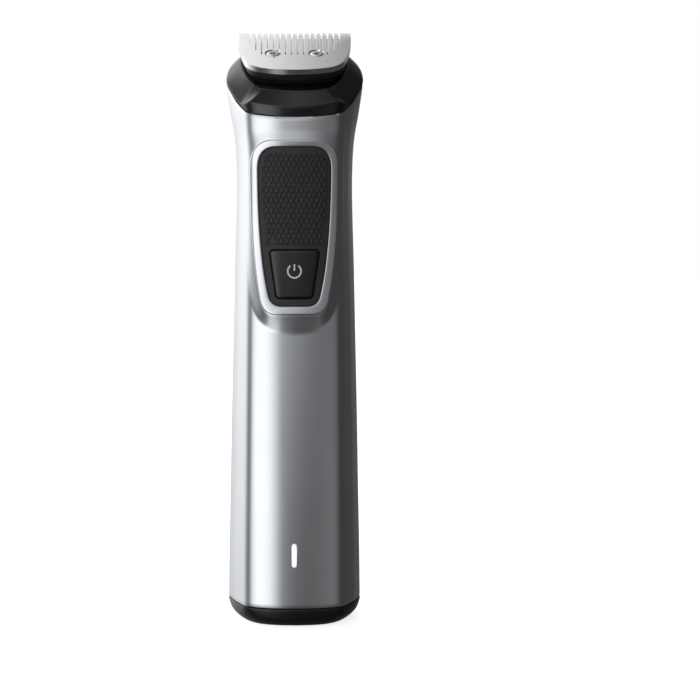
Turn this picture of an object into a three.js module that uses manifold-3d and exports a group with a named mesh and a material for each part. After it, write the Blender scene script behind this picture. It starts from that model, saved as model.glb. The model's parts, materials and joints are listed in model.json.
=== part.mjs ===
// Cordless beard trimmer, standing on its flat base.
// Millimetres, +Z up towards the cutting head, -Y is the front with the power button, +X is right.
// The origin is the middle of the footprint, on the surface the trimmer stands on.

import * as THREE from 'three';
import { LoftGeometry } from 'three/addons/geometries/LoftGeometry.js';
import { mergeVertices } from 'three/addons/utils/BufferGeometryUtils.js';
import Module from 'manifold-3d';

const wasm = await Module();
wasm.setup();

// ---------------------------------------------------------------- driving dimensions

const GAP = 0.3; // clearance between neighbouring pieces
const WALL = 1.8; // casing wall
const SEAM_Y = 3; // plane where the front and rear shells meet

// Body outline by height: z, half width, front y, back y, half width of the front face's crease.
const BODY_STATIONS = [
  [0, 19.3, -16.7, 16.7, 14.1],
  [20, 19.0, -16.6, 16.4, 14.0],
  [40, 18.55, -16.45, 15.7, 13.8],
  [60, 18.15, -16.1, 14.8, 13.6],
  [80, 17.65, -15.7, 13.9, 13.4],
  [100, 17.15, -15.2, 13.1, 13.2],
  [118, 16.6, -14.6, 12.8, 13.0],
  [128, 16.5, -14.2, 13.2, 13.0],
  [138, 17.0, -13.8, 14.2, 13.2],
  [147, 18.5, -13.6, 15.4, 13.6],
  [156, 19.75, -13.5, 16.2, 14.0],
  [172, 20.3, -13.5, 16.4, 14.4],
];
const FACE_RADIUS = 36; // crown of the front face, in plan
const SIDE_POINT = 0.46; // where the side is widest, as a share of the depth from the front
const BACK_ROUND = 2.5; // superellipse power of the rounded back
const BACK_STEPS = 6;

const CAP_HEIGHT = 5.7;
const CAP_FLOOR = 2.2;
// The cap's height above the floor and its inset from the body's outline, from the bottom up.
const CAP_ROUNDING = [
  [0, 3.6], [0.5, 2.9], [1.5, 1.9], [2.9, 0.85], [4.2, 0.35], [CAP_HEIGHT - GAP / 2, 0.05],
];
const CAP_POCKET = [[CAP_FLOOR, 4.2], [CAP_HEIGHT - GAP / 2, WALL], [9, WALL]];
const SEAL_WIDTH = 1.3;

// Line where the silver body ends and the black collar starts, as seen from the side: y, z.
const COLLAR_LINE = [
  [-20, 140.9], [-13.8, 144.4], [-10, 146.2], [-6, 148.8], [-2.5, 151.6], [0.5, 153.7], [4, 156],
  [8, 158.2], [12, 159.9], [20, 162.2],
];

// Head frame: u is across, v runs up the blade from its front edge, w is out of the blade's face.
const HEAD_TILT = 30; // degrees, top leaning back
const HEAD_ORIGIN = new THREE.Vector3(0, -9.5, 157.7);

const BLADE_ARCS = [[34.4, 0, 16], [7, 16, 74], [47, 74, 90]]; // radius, start and end heading
const BLADE_LENGTH = 21.25; // front edge to the ridge that the tooth tips slope from
const TIP_LENGTH = 2.6;
const TIP_DROP = 0.43;
const BLADE_THICKNESS = 1.7;
const SLIT_PITCH = 1.705;
const SLIT_WIDTH = 0.36;
const SLIT_STARTS = [9.5, 9.5, 13, 13.5, 13, 9.6, 12.2, 16.7]; // from the middle outwards
const GUARD_SCREW = { u: 6.2, v: 10.2, head: 2.3, shank: 1.0, length: 4.6 };

const BASE_TOP = -2.0; // head base, in w
const BASE_SHELF = -4.4;
const BASE_BOTTOM = -6.9;
const BASE_FLOOR = -5.6;
const BASE_BACK = 17.5;
const BASE_INSET = 0.6;
const PLUG_INSET = 1.2;
const CAVITY_INSET = 2.2;
const BOSS_RADIUS = 1.7;

const DECK_TOP = -4.9; // collar deck, in w
const DECK_BOTTOM = -7.0;
// Right halves of the deck's edge and, further down the facets' slope, of the skirt: u, v.
const DECK_EDGE = [
  [0, -3.2], [5, -2.75], [9.05, -1.8], [11.6, 0.6], [13.6, 4], [14.9, 8.5], [15.6, 13], [15.6, 17.5],
  [13.6, 21.6], [9, 23.6], [0, 24.3],
];
const SKIRT_EDGE = [
  [0, -12.1], [8.2, -11.7], [16.1, -8.6], [18.1, -4.6], [21.4, 0.9], [24, 5.1], [24.4, 11.4], [22.1, 18.9],
  [15.9, 24.4], [9, 27.7], [0, 28.2],
];
const SKIRT_DEPTH = -8.5;

const CUTTER = { half: 13.2, front: 14.6, root: 17.6, tip: 23.5, top: -2.0, bottom: -3.0 };
const BRIDGE = { top: -3.3, bottom: -4.7, arm: 2.2, half: 3.3, front: 3.0, back: 9.5 };
const SPRING = { bottom: -5.3, top: -5, eye: 2.9, barFront: 9.8, barBack: 11, fingerHalf: 0.8 };
const SPRING_FINGER = [[12.5, -5.3], [15, -3.75], [15, -3.4], [12.5, -5]];
const YOKE_SLOT = { half: 2.65, front: 3.7, back: 8.6 };

const MOTOR = { y: -1.8, bottom: 112, top: 138, width: 20, depth: 15 };
const SHAFT = { radius: 1.0, bottom: 126.3, top: 143.2 };
const CAM = { radius: 3.2, bottom: 141.6, top: 146.5, offset: 0.9, pin: 0.6, tip: 157.2 };

// Grip island on the front face, seen from the front: heights and half widths.
const PAD = { top: 136.3, bottom: 91.9, half: 10.26, straight: 130, radius: 5.5, bow: [10.1, 107] };
const PAD_FOOT = { half: 6.45, reach: 2.85, lean: 0.8, rise: 2.9 }; // lower corner's curve
const BEZEL_WIDTH = 2.4;
const BEZEL_RISE = [1.3, 0.45]; // how far the frame stands proud, at its bottom and at its top
const PAD_DROP = 0.45; // how far the pad lies below the frame
const BUTTON_DROP = 0.1;
const INLAY_DEPTH = 1.4;
const PAN_FLOOR = 1.3;
const BUTTON = { top: 107.6, bottom: 94.2, halfTop: 6.9, halfBottom: 5.05, radius: 1.2 };
const STEM = { radius: 2.0, z: 101.2, back: -10.3 };
const LENS = { half: 0.75, bottom: 17.8, top: 24.5, back: -8.4 };

const BOARD = { front: -6.2, back: -5.0, half: 10.2, bottom: 12, top: 108 };
const CHASSIS = { front: -4.0, back: -2.5, half: 12, bottom: 8, top: 110.5, rail: 1.4, railDepth: 1.8 };
const BATTERY = { radius: 6.8, y: 4.8, bottom: 18.2, top: 66.2 };
const SOCKET = { y: 6.5, width: 11, depth: 7.6, bottom: 0.6, top: 11, mouth: [8.4, 5], mouthTop: 8.6 };
const BASE_SCREW = { x: 10.5, y: -2.4, head: 2.1, shank: 1.0, bottom: 0.9, top: 15 };
const BOARD_SCREWS = [34, 78];

// ---------------------------------------------------------------- solids

function toSolid(geometry) {
  const bare = new THREE.BufferGeometry();
  bare.setAttribute('position', geometry.getAttribute('position'));
  bare.setIndex(geometry.index);
  const merged = mergeVertices(bare, 1e-4);
  return new wasm.Manifold(new wasm.Mesh({
    numProp: 3,
    vertProperties: new Float32Array(merged.attributes.position.array),
    triVerts: new Uint32Array(merged.index.array),
  }));
}

function toGeometry(solid) {
  const { vertProperties, triVerts } = solid.getMesh();
  const geometry = new THREE.BufferGeometry();
  geometry.setAttribute('position', new THREE.BufferAttribute(vertProperties, 3));
  geometry.setIndex(new THREE.BufferAttribute(triVerts, 1));
  return geometry;
}

function box(x0, x1, y0, y1, z0, z1) {
  const geometry = new THREE.BoxGeometry(x1 - x0, y1 - y0, z1 - z0);
  return toSolid(geometry.translate((x0 + x1) / 2, (y0 + y1) / 2, (z0 + z1) / 2));
}

// A cylinder along Z.
function rod(radius, x, y, z0, z1, sides = 20, topRadius = radius) {
  const geometry = new THREE.CylinderGeometry(topRadius, radius, z1 - z0, sides);
  return toSolid(geometry.rotateX(Math.PI / 2).translate(x, y, (z0 + z1) / 2));
}

// A cylinder along Y.
function crossRod(radius, x, z, y0, y1, sides = 20) {
  const geometry = new THREE.CylinderGeometry(radius, radius, y1 - y0, sides);
  return toSolid(geometry.translate(x, (y0 + y1) / 2, z));
}

function prism(points, low, high) {
  const geometry = new THREE.ExtrudeGeometry(new THREE.Shape(points), {
    depth: high - low, bevelEnabled: false,
  });
  return geometry.translate(0, 0, low);
}

// Turns a prism along Z into one along X, whose outline was drawn in y and z.
function alongX(geometry) {
  return geometry.rotateX(Math.PI / 2).rotateZ(Math.PI / 2);
}

// An outline drawn in x and z, extruded along Y through the front of the body.
function frontPrism(points, y0 = -30, y1 = 0) {
  return toSolid(prism(points, -y1, -y0).rotateX(Math.PI / 2));
}

// ---------------------------------------------------------------- outlines

function stationValue(z, column) {
  const rows = BODY_STATIONS;
  let i = rows.findIndex((row) => row[0] > z) - 1;
  if (i < 0) i = z < rows[0][0] ? 0 : rows.length - 2;
  const at = (k) => rows[Math.min(Math.max(k, 0), rows.length - 1)];
  const slope = (k) => (at(k + 1)[column] - at(k - 1)[column]) / (at(k + 1)[0] - at(k - 1)[0]);
  const [a, b] = [at(i), at(i + 1)];
  const span = b[0] - a[0];
  const t = THREE.MathUtils.clamp((z - a[0]) / span, 0, 1);
  const t2 = t * t;
  const t3 = t2 * t;
  return (2 * t3 - 3 * t2 + 1) * a[column] + (t3 - 2 * t2 + t) * span * slope(i)
    + (3 * t2 - 2 * t3) * b[column] + (t3 - t2) * span * slope(i + 1);
}

// Body section at height z, counter-clockwise from the middle of the front.
function bodySection(z, grow = 0) {
  const half = stationValue(z, 1) + grow;
  const front = stationValue(z, 2) - grow;
  const back = stationValue(z, 3) + grow;
  const crease = stationValue(z, 4) + grow * 0.8;
  const sideY = front + (back - front) * SIDE_POINT;
  const sag = (x) => FACE_RADIUS - Math.sqrt(FACE_RADIUS ** 2 - x * x);
  const right = [];
  for (const share of [0, 0.25, 0.5, 0.75, 1]) {
    right.push([crease * share, front + sag(crease * share)]);
  }
  const creaseY = front + sag(crease);
  right.push([crease + (half - crease) * 0.62, creaseY + (sideY - creaseY) * 0.5]);
  for (let i = 0; i <= BACK_STEPS; i++) {
    const angle = (i / BACK_STEPS) * Math.PI / 2;
    const x = half * Math.cos(angle) ** (2 / BACK_ROUND);
    const y = sideY + (back - sideY) * Math.sin(angle) ** (2 / BACK_ROUND);
    right.push([Math.max(x, 0), y]);
  }
  right[right.length - 1][0] = 0;
  const left = right.slice(1, -1).reverse().map(([x, y]) => [-x, y]);
  return [...right, ...left].map(([x, y]) => new THREE.Vector3(x, y, z));
}

function loft(rings) {
  return toSolid(new LoftGeometry(rings, { capStart: true, capEnd: true }));
}

// The body's outline grown by a number, or by a function of the height.
function bodyLoft(grow, heights) {
  const growAt = typeof grow === 'function' ? grow : () => grow;
  return loft(heights.map((z) => bodySection(z, growAt(z))));
}

// A section of the body moved to another height.
function liftedSection(z, grow, height) {
  return bodySection(z, grow).map((p) => new THREE.Vector3(p.x, p.y, height));
}

// How far the grip's frame stands proud at height z, less a drop.
function gripRise(drop) {
  const [low, high] = [PAD.bottom - BEZEL_WIDTH, PAD.top + BEZEL_WIDTH];
  return (z) => THREE.MathUtils.mapLinear(z, low, high, ...BEZEL_RISE) - drop;
}

function heightsBetween(low, high, steps) {
  return Array.from({ length: steps + 1 }, (_, i) => low + (high - low) * i / steps);
}

// Right half of the blade outline from the front middle, shrunk by an inset and ended at v = back.
function bladeHalf(inset, back, steps = [3, 4, 4]) {
  const points = [[0, inset]];
  let [u, v] = [0, inset];
  BLADE_ARCS.forEach(([radius, start, end], k) => {
    const r = radius - inset;
    const a0 = THREE.MathUtils.degToRad(start);
    for (let i = 1; i <= steps[k]; i++) {
      const a = THREE.MathUtils.degToRad(start + (end - start) * i / steps[k]);
      points.push([u + r * (Math.sin(a) - Math.sin(a0)), v + r * (Math.cos(a0) - Math.cos(a))]);
    }
    [u, v] = points[points.length - 1];
  });
  const kept = points.filter((p) => p[1] < back - 0.05);
  const last = kept[kept.length - 1];
  const next = points[kept.length];
  const share = next ? (back - last[1]) / (next[1] - last[1]) : 0;
  kept.push([last[0] + (next ? (next[0] - last[0]) * share : 0), back]);
  return kept;
}

function mirrored(half) {
  const left = half.filter(([u]) => u > 1e-6).reverse().map(([u, v]) => [-u, v]);
  return [...half, ...left].map(([u, v]) => new THREE.Vector2(u, v));
}

function bladeOutline(inset, back) {
  return mirrored(bladeHalf(inset, back));
}

// Closed outline at height w in the head frame, from its right half.
function wholeRing(half, w) {
  return mirrored(half).map(({ x, y }) => new THREE.Vector3(x, y, w));
}

// Grip island outline in x and z, grown outwards by a margin.
function padOutline(grow) {
  const { top, bottom, half, straight, radius, bow } = PAD;
  const foot = PAD_FOOT;
  const [t, b, h, r] = [top + 0.8 * grow, bottom - grow, half + grow, radius + 0.5 * grow];
  const corner = foot.half + 0.9 * grow;
  const shape = new THREE.Shape();
  shape.moveTo(corner - foot.reach - 0.3 * grow, b);
  shape.quadraticCurveTo(corner, b, corner + foot.lean + 0.1 * grow, b + foot.rise + 0.25 * grow);
  shape.quadraticCurveTo(bow[0] + grow, bow[1], h, straight);
  shape.lineTo(h, t - r);
  shape.quadraticCurveTo(h, t, h - r, t);
  shape.lineTo(0, t);
  return mirrored(shape.getPoints(5).reverse().map((p) => [p.x, p.y]));
}

function buttonOutline(grow) {
  const { top, bottom, halfTop, halfBottom, radius } = BUTTON;
  const r = radius + grow;
  const [t, b, ht, hb] = [top + grow, bottom - grow, halfTop + grow, halfBottom + grow];
  const shape = new THREE.Shape();
  shape.moveTo(-hb + r, b);
  shape.lineTo(hb - r, b);
  shape.quadraticCurveTo(hb, b, hb + 0.15, b + r);
  shape.lineTo(ht - 0.1, t - r);
  shape.quadraticCurveTo(ht, t, ht - r, t);
  shape.lineTo(-ht + r, t);
  shape.quadraticCurveTo(-ht, t, -ht + 0.1, t - r);
  shape.lineTo(-hb - 0.15, b + r);
  shape.quadraticCurveTo(-hb, b, -hb + r, b);
  return shape.getPoints(3).slice(0, -1);
}

function slotOutline(half, bottom, top, margin = 0) {
  const r = half + margin;
  const shape = new THREE.Shape();
  shape.absarc(0, top - half, r, 0, Math.PI, false);
  shape.absarc(0, bottom + half, r, Math.PI, 2 * Math.PI, false);
  return shape.getPoints(6).slice(0, -1);
}

// ---------------------------------------------------------------- materials and nodes

const FINISHES = {
  silver: { color: 0xc3c5ca, roughness: 0.32, metalness: 0.85 },
  blackGloss: { color: 0x08080a, roughness: 0.08, metalness: 0 },
  blackSatin: { color: 0x141416, roughness: 0.35, metalness: 0 },
  grip: { color: 0x2b2828, roughness: 0.6, metalness: 0 },
  bladeSteel: { color: 0xc9cacb, roughness: 0.3, metalness: 1 },
  steel: { color: 0xa8aaad, roughness: 0.3, metalness: 1 },
  brass: { color: 0xc9a650, roughness: 0.3, metalness: 1 },
  rubber: { color: 0x1a1a1a, roughness: 0.8, metalness: 0 },
  nylon: { color: 0xd9d6cc, roughness: 0.5, metalness: 0 },
  lens: { color: 0xf4f7ff, roughness: 0.2, metalness: 0 },
  board: { color: 0x1d5a34, roughness: 0.5, metalness: 0 },
  cell: { color: 0x3b5fa0, roughness: 0.4, metalness: 0 },
};

const trimmer = new THREE.Group();
const head = new THREE.Group();
head.position.copy(HEAD_ORIGIN);
head.rotation.x = THREE.MathUtils.degToRad(HEAD_TILT);
trimmer.add(head);

function addNode(name, solid, finish, parent = trimmer) {
  const mesh = new THREE.Mesh(toGeometry(solid), new THREE.MeshStandardMaterial(FINISHES[finish]));
  mesh.name = name;
  parent.add(mesh);
}

// Carries a solid built in the head frame over to the body frame.
function fromHead(solid) {
  const { x, y, z } = HEAD_ORIGIN;
  return solid.rotate([HEAD_TILT, 0, 0]).translate([x, y, z]);
}

// ---------------------------------------------------------------- casing

const LOFT_HEIGHTS = [0, 15, 40, 65, 90, 105, 118, 128, 138, 147, 156, 172];
const outerBody = bodyLoft(0, LOFT_HEIGHTS);
const innerBody = bodyLoft(-WALL, LOFT_HEIGHTS);

// Everything above the collar line, moved up by a margin.
function aboveCollarLine(margin) {
  const curve = new THREE.SplineCurve(COLLAR_LINE.map(([y, z]) => new THREE.Vector2(y, z + margin)));
  const points = [...curve.getPoints(12), new THREE.Vector2(20, 190), new THREE.Vector2(-20, 190)];
  return toSolid(alongX(prism(points, -30, 30)));
}

// The layer of the front face between two depths, cut to an outline.
function islandSlice(outline, rise, depth) {
  const inner = bodyLoft(-depth, heightsBetween(83, 145, 6));
  return bodyLoft(rise, heightsBetween(84, 144, 6)).subtract(inner).intersect(frontPrism(outline));
}

function makeShells() {
  const silver = outerBody
    .subtract(innerBody)
    .subtract(box(-30, 30, -30, 30, -1, CAP_HEIGHT + GAP / 2))
    .subtract(aboveCollarLine(-GAP / 2));
  const pocket = padOutline(BEZEL_WIDTH + GAP);
  const pan = islandSlice(padOutline(BEZEL_WIDTH + GAP + 1.2), -1, INLAY_DEPTH + GAP + PAN_FLOOR)
    .subtract(islandSlice(pocket, 3, INLAY_DEPTH + GAP));
  const lensHole = slotOutline(LENS.half, LENS.bottom, LENS.top, GAP);
  const openings = frontPrism(buttonOutline(GAP)).add(frontPrism(lensHole));
  const front = silver
    .intersect(box(-30, 30, -30, SEAM_Y - GAP / 2, 0, 190))
    .subtract(frontPrism(pocket))
    .add(pan)
    .subtract(openings);
  const rear = silver.intersect(box(-30, 30, SEAM_Y + GAP / 2, 30, 0, 190));
  addNode('front_shell', front, 'silver');
  addNode('rear_shell', rear, 'silver');
}

function makeCollar() {
  const skirt = loft([wholeRing(SKIRT_EDGE, SKIRT_DEPTH), wholeRing(DECK_EDGE, DECK_TOP)])
    .add(loft([wholeRing(SKIRT_EDGE, -40), wholeRing(SKIRT_EDGE, SKIRT_DEPTH + 0.01)]));
  const outer = outerBody.intersect(aboveCollarLine(GAP / 2)).intersect(fromHead(skirt));
  const belowDeck = fromHead(box(-40, 40, -40, 40, -60, DECK_BOTTOM));
  const openingOutline = bladeOutline(PLUG_INSET - GAP, BASE_BACK - PLUG_INSET + GAP);
  const opening = fromHead(toSolid(prism(openingOutline, -20, 0)));
  addNode('neck_collar', outer.subtract(innerBody.intersect(belowDeck)).subtract(opening), 'blackGloss');
}

function makeBaseCap() {
  const shape = loft(CAP_ROUNDING.map(([z, inset]) => liftedSection(0, -inset, z)));
  const pocket = loft(CAP_POCKET.map(([z, inset]) => liftedSection(0, -inset, z)));
  const { width, depth, y } = SOCKET;
  let cap = shape.subtract(pocket);
  cap = cap.subtract(box(-width / 2 - GAP, width / 2 + GAP, y - depth / 2 - GAP, y + depth / 2 + GAP, -1, 9));
  for (const side of [-1, 1]) {
    const x = side * BASE_SCREW.x;
    cap = cap.add(rod(BASE_SCREW.head + 1.2, x, BASE_SCREW.y, 1, 7.2));
    cap = cap.subtract(rod(BASE_SCREW.head + GAP, x, BASE_SCREW.y, -1, BASE_SCREW.bottom + 1.9));
    cap = cap.subtract(rod(BASE_SCREW.shank + GAP, x, BASE_SCREW.y, 0, 9, 16));
    addNode(`base_screw_${side < 0 ? 'left' : 'right'}`, panScrew(x), 'steel');
  }
  addNode('base_cap', cap, 'blackSatin');
}

function panScrew(x) {
  const { y, head: radius, shank, bottom, top } = BASE_SCREW;
  const cross = box(x - 0.3, x + 0.3, y - 1.2, y + 1.2, bottom - 1, bottom + 0.7)
    .add(box(x - 1.2, x + 1.2, y - 0.3, y + 0.3, bottom - 1, bottom + 0.7));
  return rod(radius, x, y, bottom, bottom + 1.6).add(rod(shank, x, y, bottom + 1, top, 12)).subtract(cross);
}

function makeBaseSeal() {
  const [low, high] = [CAP_HEIGHT + GAP, CAP_HEIGHT + 2];
  const [outside, inside] = [-WALL - GAP, -WALL - GAP - SEAL_WIDTH];
  const outer = loft([liftedSection(4, outside, low), liftedSection(4, outside, high)]);
  const inner = loft([liftedSection(4, inside, low - 1), liftedSection(4, inside, high + 1)]);
  addNode('base_seal', outer.subtract(inner), 'rubber');
}

function makeGrip() {
  const bezel = islandSlice(padOutline(BEZEL_WIDTH), gripRise(0), INLAY_DEPTH);
  addNode('grip_bezel', bezel.subtract(frontPrism(padOutline(GAP))), 'silver');
  const pad = islandSlice(padOutline(0), gripRise(PAD_DROP), INLAY_DEPTH);
  addNode('grip_pad', pad.subtract(frontPrism(buttonOutline(GAP))), 'grip');
  const face = islandSlice(buttonOutline(0), gripRise(BUTTON_DROP), INLAY_DEPTH);
  const stem = crossRod(STEM.radius, 0, STEM.z, -14.6, STEM.back);
  addNode('power_button', face.add(stem), 'blackGloss');
}

function makeIndicator() {
  const heights = [10, 20, 30];
  const front = bodyLoft(0.1, heights);
  const pipe = front.intersect(frontPrism(slotOutline(LENS.half, LENS.bottom, LENS.top), -30, LENS.back));
  addNode('indicator_lens', pipe, 'lens');
  addNode('status_led', box(-1.2, 1.2, LENS.back + GAP, BOARD.front - GAP, 19.7, 22.6), 'nylon');
}

// ---------------------------------------------------------------- charging socket

function makeSocket() {
  const { y, width, depth, bottom, top, mouth, mouthTop } = SOCKET;
  const block = box(-width / 2, width / 2, y - depth / 2, y + depth / 2, bottom, top);
  const hollow = box(-mouth[0] / 2, mouth[0] / 2, y - mouth[1] / 2, y + mouth[1] / 2, bottom - 1, mouthTop);
  addNode('charge_socket', block.subtract(hollow), 'blackSatin');
  for (const side of [-1, 1]) {
    const pin = rod(0.6, side * 1.9, y, 3.4, mouthTop - GAP, 12);
    addNode(`charge_pin_${side < 0 ? 'left' : 'right'}`, pin, 'brass');
  }
}

// ---------------------------------------------------------------- inside the handle

function makeChassis() {
  const { front, back, half, bottom, top, rail, railDepth } = CHASSIS;
  let frame = box(-half, half, front, back, bottom, top);
  for (const side of [-1, 1]) {
    const outer = side * half;
    const inner = side * (half - rail);
    const [x0, x1] = [Math.min(outer, inner), Math.max(outer, inner)];
    frame = frame.add(box(x0, x1, front - railDepth, back, bottom, MOTOR.top - 0.2));
    const x = side * BASE_SCREW.x;
    frame = frame.add(box(x - 2.5, x + 2.5, BOARD.back + GAP, back + 2.2, bottom, bottom + 10));
    const hole = rod(BASE_SCREW.shank + GAP, x, BASE_SCREW.y, bottom - 1, BASE_SCREW.top + GAP, 16);
    frame = frame.subtract(hole);
  }
  for (const z of BOARD_SCREWS) frame = frame.subtract(crossRod(1.2, 0, z, front - 1, back + 1, 12));
  addNode('chassis', frame, 'blackSatin');
}

function makeBoard() {
  const { front, back, half, bottom, top } = BOARD;
  let board = box(-half, half, front, back, bottom, top);
  BOARD_SCREWS.forEach((z, i) => {
    board = board.subtract(crossRod(1.2, 0, z, front - 1, back + 1, 12));
    const shank = crossRod(0.9, 0, z, front - 1, back + 2.3, 12);
    const screwHead = crossRod(1.9, 0, z, front - 1.5, front - GAP, 16);
    addNode(`board_screw_${i === 0 ? 'lower' : 'upper'}`, shank.add(screwHead), 'steel');
  });
  addNode('circuit_board', board, 'board');
  const switchFront = front - 2.6;
  addNode('switch_body', box(-3, 3, switchFront, front - GAP, STEM.z - 3, STEM.z + 3)
    .subtract(crossRod(1.5, 0, STEM.z, switchFront - 1, switchFront + 1.2)), 'nylon');
  addNode('switch_plunger', crossRod(1.2, 0, STEM.z, STEM.back + GAP, switchFront + 0.6, 16), 'blackSatin');
}

function makeBattery() {
  const { radius, y, bottom, top } = BATTERY;
  addNode('battery_cell', rod(radius, 0, y, bottom, top, 28), 'cell');
  addNode('battery_tab_bottom', box(-3, 3, y - 4, y + 4, bottom - GAP - 0.5, bottom - GAP), 'steel');
  addNode('battery_tab_top', box(-3, 3, y - 4, y + 4, top + GAP, top + GAP + 0.5), 'steel');
}

function makeMotor() {
  const { y, bottom, top, width, depth } = MOTOR;
  const round = rod(width / 2, 0, y, bottom, top, 32);
  let can = round.intersect(box(-width, width, y - depth / 2, y + depth / 2, bottom, top));
  can = can.subtract(rod(SHAFT.radius + GAP, 0, y, SHAFT.bottom - GAP, top + 1, 16));
  const plateTop = top + 1.8;
  let mount = box(-12, 12, y - 3.1, y + 6, top + GAP, plateTop);
  mount = mount.subtract(rod(2.4, 0, y, top, plateTop + 1));
  for (const side of [-1, 1]) {
    const x = side * 6;
    can = can.subtract(rod(1 + GAP, x, y, top - 4, top + 1, 16));
    mount = mount.subtract(rod(1 + GAP, x, y, top, plateTop + 1, 16));
    const shank = rod(1.0, x, y, top - 3.6, plateTop + 1, 12);
    const screwHead = rod(1.8, x, y, plateTop + GAP, plateTop + 1.5, 16);
    addNode(`motor_screw_${side < 0 ? 'left' : 'right'}`, shank.add(screwHead), 'steel');
  }
  addNode('motor_can', can, 'steel');
  addNode('motor_mount', mount, 'blackSatin');
  addNode('motor_shaft', rod(SHAFT.radius, 0, y, SHAFT.bottom, SHAFT.top, 16), 'steel');
  const hub = rod(CAM.radius, 0, y, CAM.bottom, CAM.top, 28)
    .subtract(rod(SHAFT.radius + GAP, 0, y, CAM.bottom - 1, SHAFT.top + GAP, 16));
  addNode('eccentric_cam', hub.add(rod(CAM.pin, 0, y - CAM.offset, CAM.top - 1, CAM.tip, 12)), 'nylon');
}

function makeNeckSeal() {
  const outline = bladeOutline(PLUG_INSET + 0.6, BASE_BACK - 2.2);
  const disc = toSolid(prism(outline, DECK_BOTTOM - 1.3, DECK_BOTTOM - GAP));
  const hole = rod(2.6, 0, 4.7, -12, 0, 20);
  addNode('neck_seal', disc.subtract(hole), 'rubber', head);
}

// ---------------------------------------------------------------- cutting head

// Comb outline: the blade with its slits open to the tooth tips.
function combPoints(half, tip, slits) {
  const back = [];
  for (const [u, start] of slits) {
    back.push([u + SLIT_WIDTH / 2, tip], [u + SLIT_WIDTH / 2, start], [u - SLIT_WIDTH / 2, start],
      [u - SLIT_WIDTH / 2, tip]);
  }
  const left = half.filter(([u]) => u > 1e-6).reverse().map(([u, v]) => [-u, v]);
  return [...half, ...back, ...left].map(([u, v]) => new THREE.Vector2(u, v));
}

// Slits from right to left, given the starts from the middle outwards.
function guardSlits() {
  const right = SLIT_STARTS.map((start, k) => [(k + 0.5) * SLIT_PITCH, start]);
  return [...right.slice().reverse(), ...right.map(([u, start]) => [-u, start])];
}

// The cutter's slits lie half a pitch off the guard's, behind its teeth.
function cutterSlits() {
  const count = Math.floor((CUTTER.half - SLIT_WIDTH) / SLIT_PITCH);
  return Array.from({ length: 2 * count + 1 }, (_, i) => [(count - i) * SLIT_PITCH, CUTTER.root]);
}

function makeGuardPlate() {
  const tip = BLADE_LENGTH + TIP_LENGTH;
  const outline = combPoints(bladeHalf(0, tip), tip, guardSlits());
  let plate = toSolid(prism(outline, -BLADE_THICKNESS, 0));
  const bevel = new THREE.BoxGeometry(60, 6, 6).translate(0, 3, 3);
  bevel.rotateX(-Math.atan2(TIP_DROP, TIP_LENGTH)).translate(0, BLADE_LENGTH, 0);
  plate = plate.subtract(toSolid(bevel));
  for (const side of [-1, 1]) {
    const { u, v, head: radius, shank, length } = GUARD_SCREW;
    const x = side * u;
    plate = plate.subtract(rod(shank + GAP, x, v, -3, 1, 20));
    plate = plate.subtract(rod(shank + GAP, x, v, -1.3 - GAP, 0.01, 20, radius + GAP));
    const screw = rod(shank, x, v, -1.3, 0, 20, radius).add(rod(shank, x, v, -length, -1, 16))
      .subtract(box(x - 1.3, x + 1.3, v - 0.3, v + 0.3, -0.6, 1))
      .subtract(box(x - 0.3, x + 0.3, v - 1.3, v + 1.3, -0.6, 1));
    addNode(`guard_screw_${side < 0 ? 'left' : 'right'}`, screw, 'steel', head);
  }
  addNode('guard_plate', plate, 'bladeSteel', head);
}

function makeHeadBase() {
  const wall = toSolid(prism(bladeOutline(BASE_INSET, BASE_BACK), BASE_SHELF, BASE_TOP));
  const plugOutline = bladeOutline(PLUG_INSET, BASE_BACK - PLUG_INSET);
  const plug = toSolid(prism(plugOutline, BASE_BOTTOM, BASE_SHELF + 0.5));
  const cavityOutline = bladeOutline(CAVITY_INSET, BASE_BACK - CAVITY_INSET);
  const cavity = toSolid(prism(cavityOutline, BASE_FLOOR, 0));
  let base = wall.add(plug).subtract(cavity);
  for (const side of [-1, 1]) {
    const { u, v, shank, length } = GUARD_SCREW;
    base = base.add(rod(BOSS_RADIUS, side * u, v, BASE_FLOOR - 0.5, BASE_TOP));
    base = base.subtract(rod(shank + GAP, side * u, v, -length - GAP, 0, 16));
  }
  const { half, front, bottom } = CUTTER;
  base = base.subtract(box(-half - 1.4, half + 1.4, front - 1.3, 30, bottom - GAP, 0));
  const window = { half: YOKE_SLOT.half + 0.5, front: YOKE_SLOT.front - 1.6, back: YOKE_SLOT.back };
  base = base.subtract(box(-window.half, window.half, window.front, window.back, -8, BASE_FLOOR + 1));
  base = base.subtract(box(-3, 3, -1, BASE_INSET + 0.45, BASE_SHELF + 0.9, BASE_TOP + 1));
  addNode('head_base', base, 'blackGloss', head);
}

function makeCutter() {
  const { half, front, tip, top, bottom } = CUTTER;
  const body = [[0, front], [half, front], [half, tip]];
  const outline = combPoints(body, tip, cutterSlits());
  addNode('cutter_plate', toSolid(prism(outline, bottom, top)), 'bladeSteel', head);
  const bridge = box(-BRIDGE.arm, BRIDGE.arm, BRIDGE.back - 1, front - 1.7, BRIDGE.bottom, BRIDGE.top)
    .add(box(-BRIDGE.half, BRIDGE.half, BRIDGE.front, BRIDGE.back, BRIDGE.bottom, BRIDGE.top))
    .add(box(-BRIDGE.arm, BRIDGE.arm, front - 2.5, front - GAP, BRIDGE.bottom, CUTTER.top))
    .subtract(box(-YOKE_SLOT.half, YOKE_SLOT.half, YOKE_SLOT.front, YOKE_SLOT.back, -9, 0));
  addNode('cutter_bridge', bridge, 'nylon', head);
}

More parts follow.
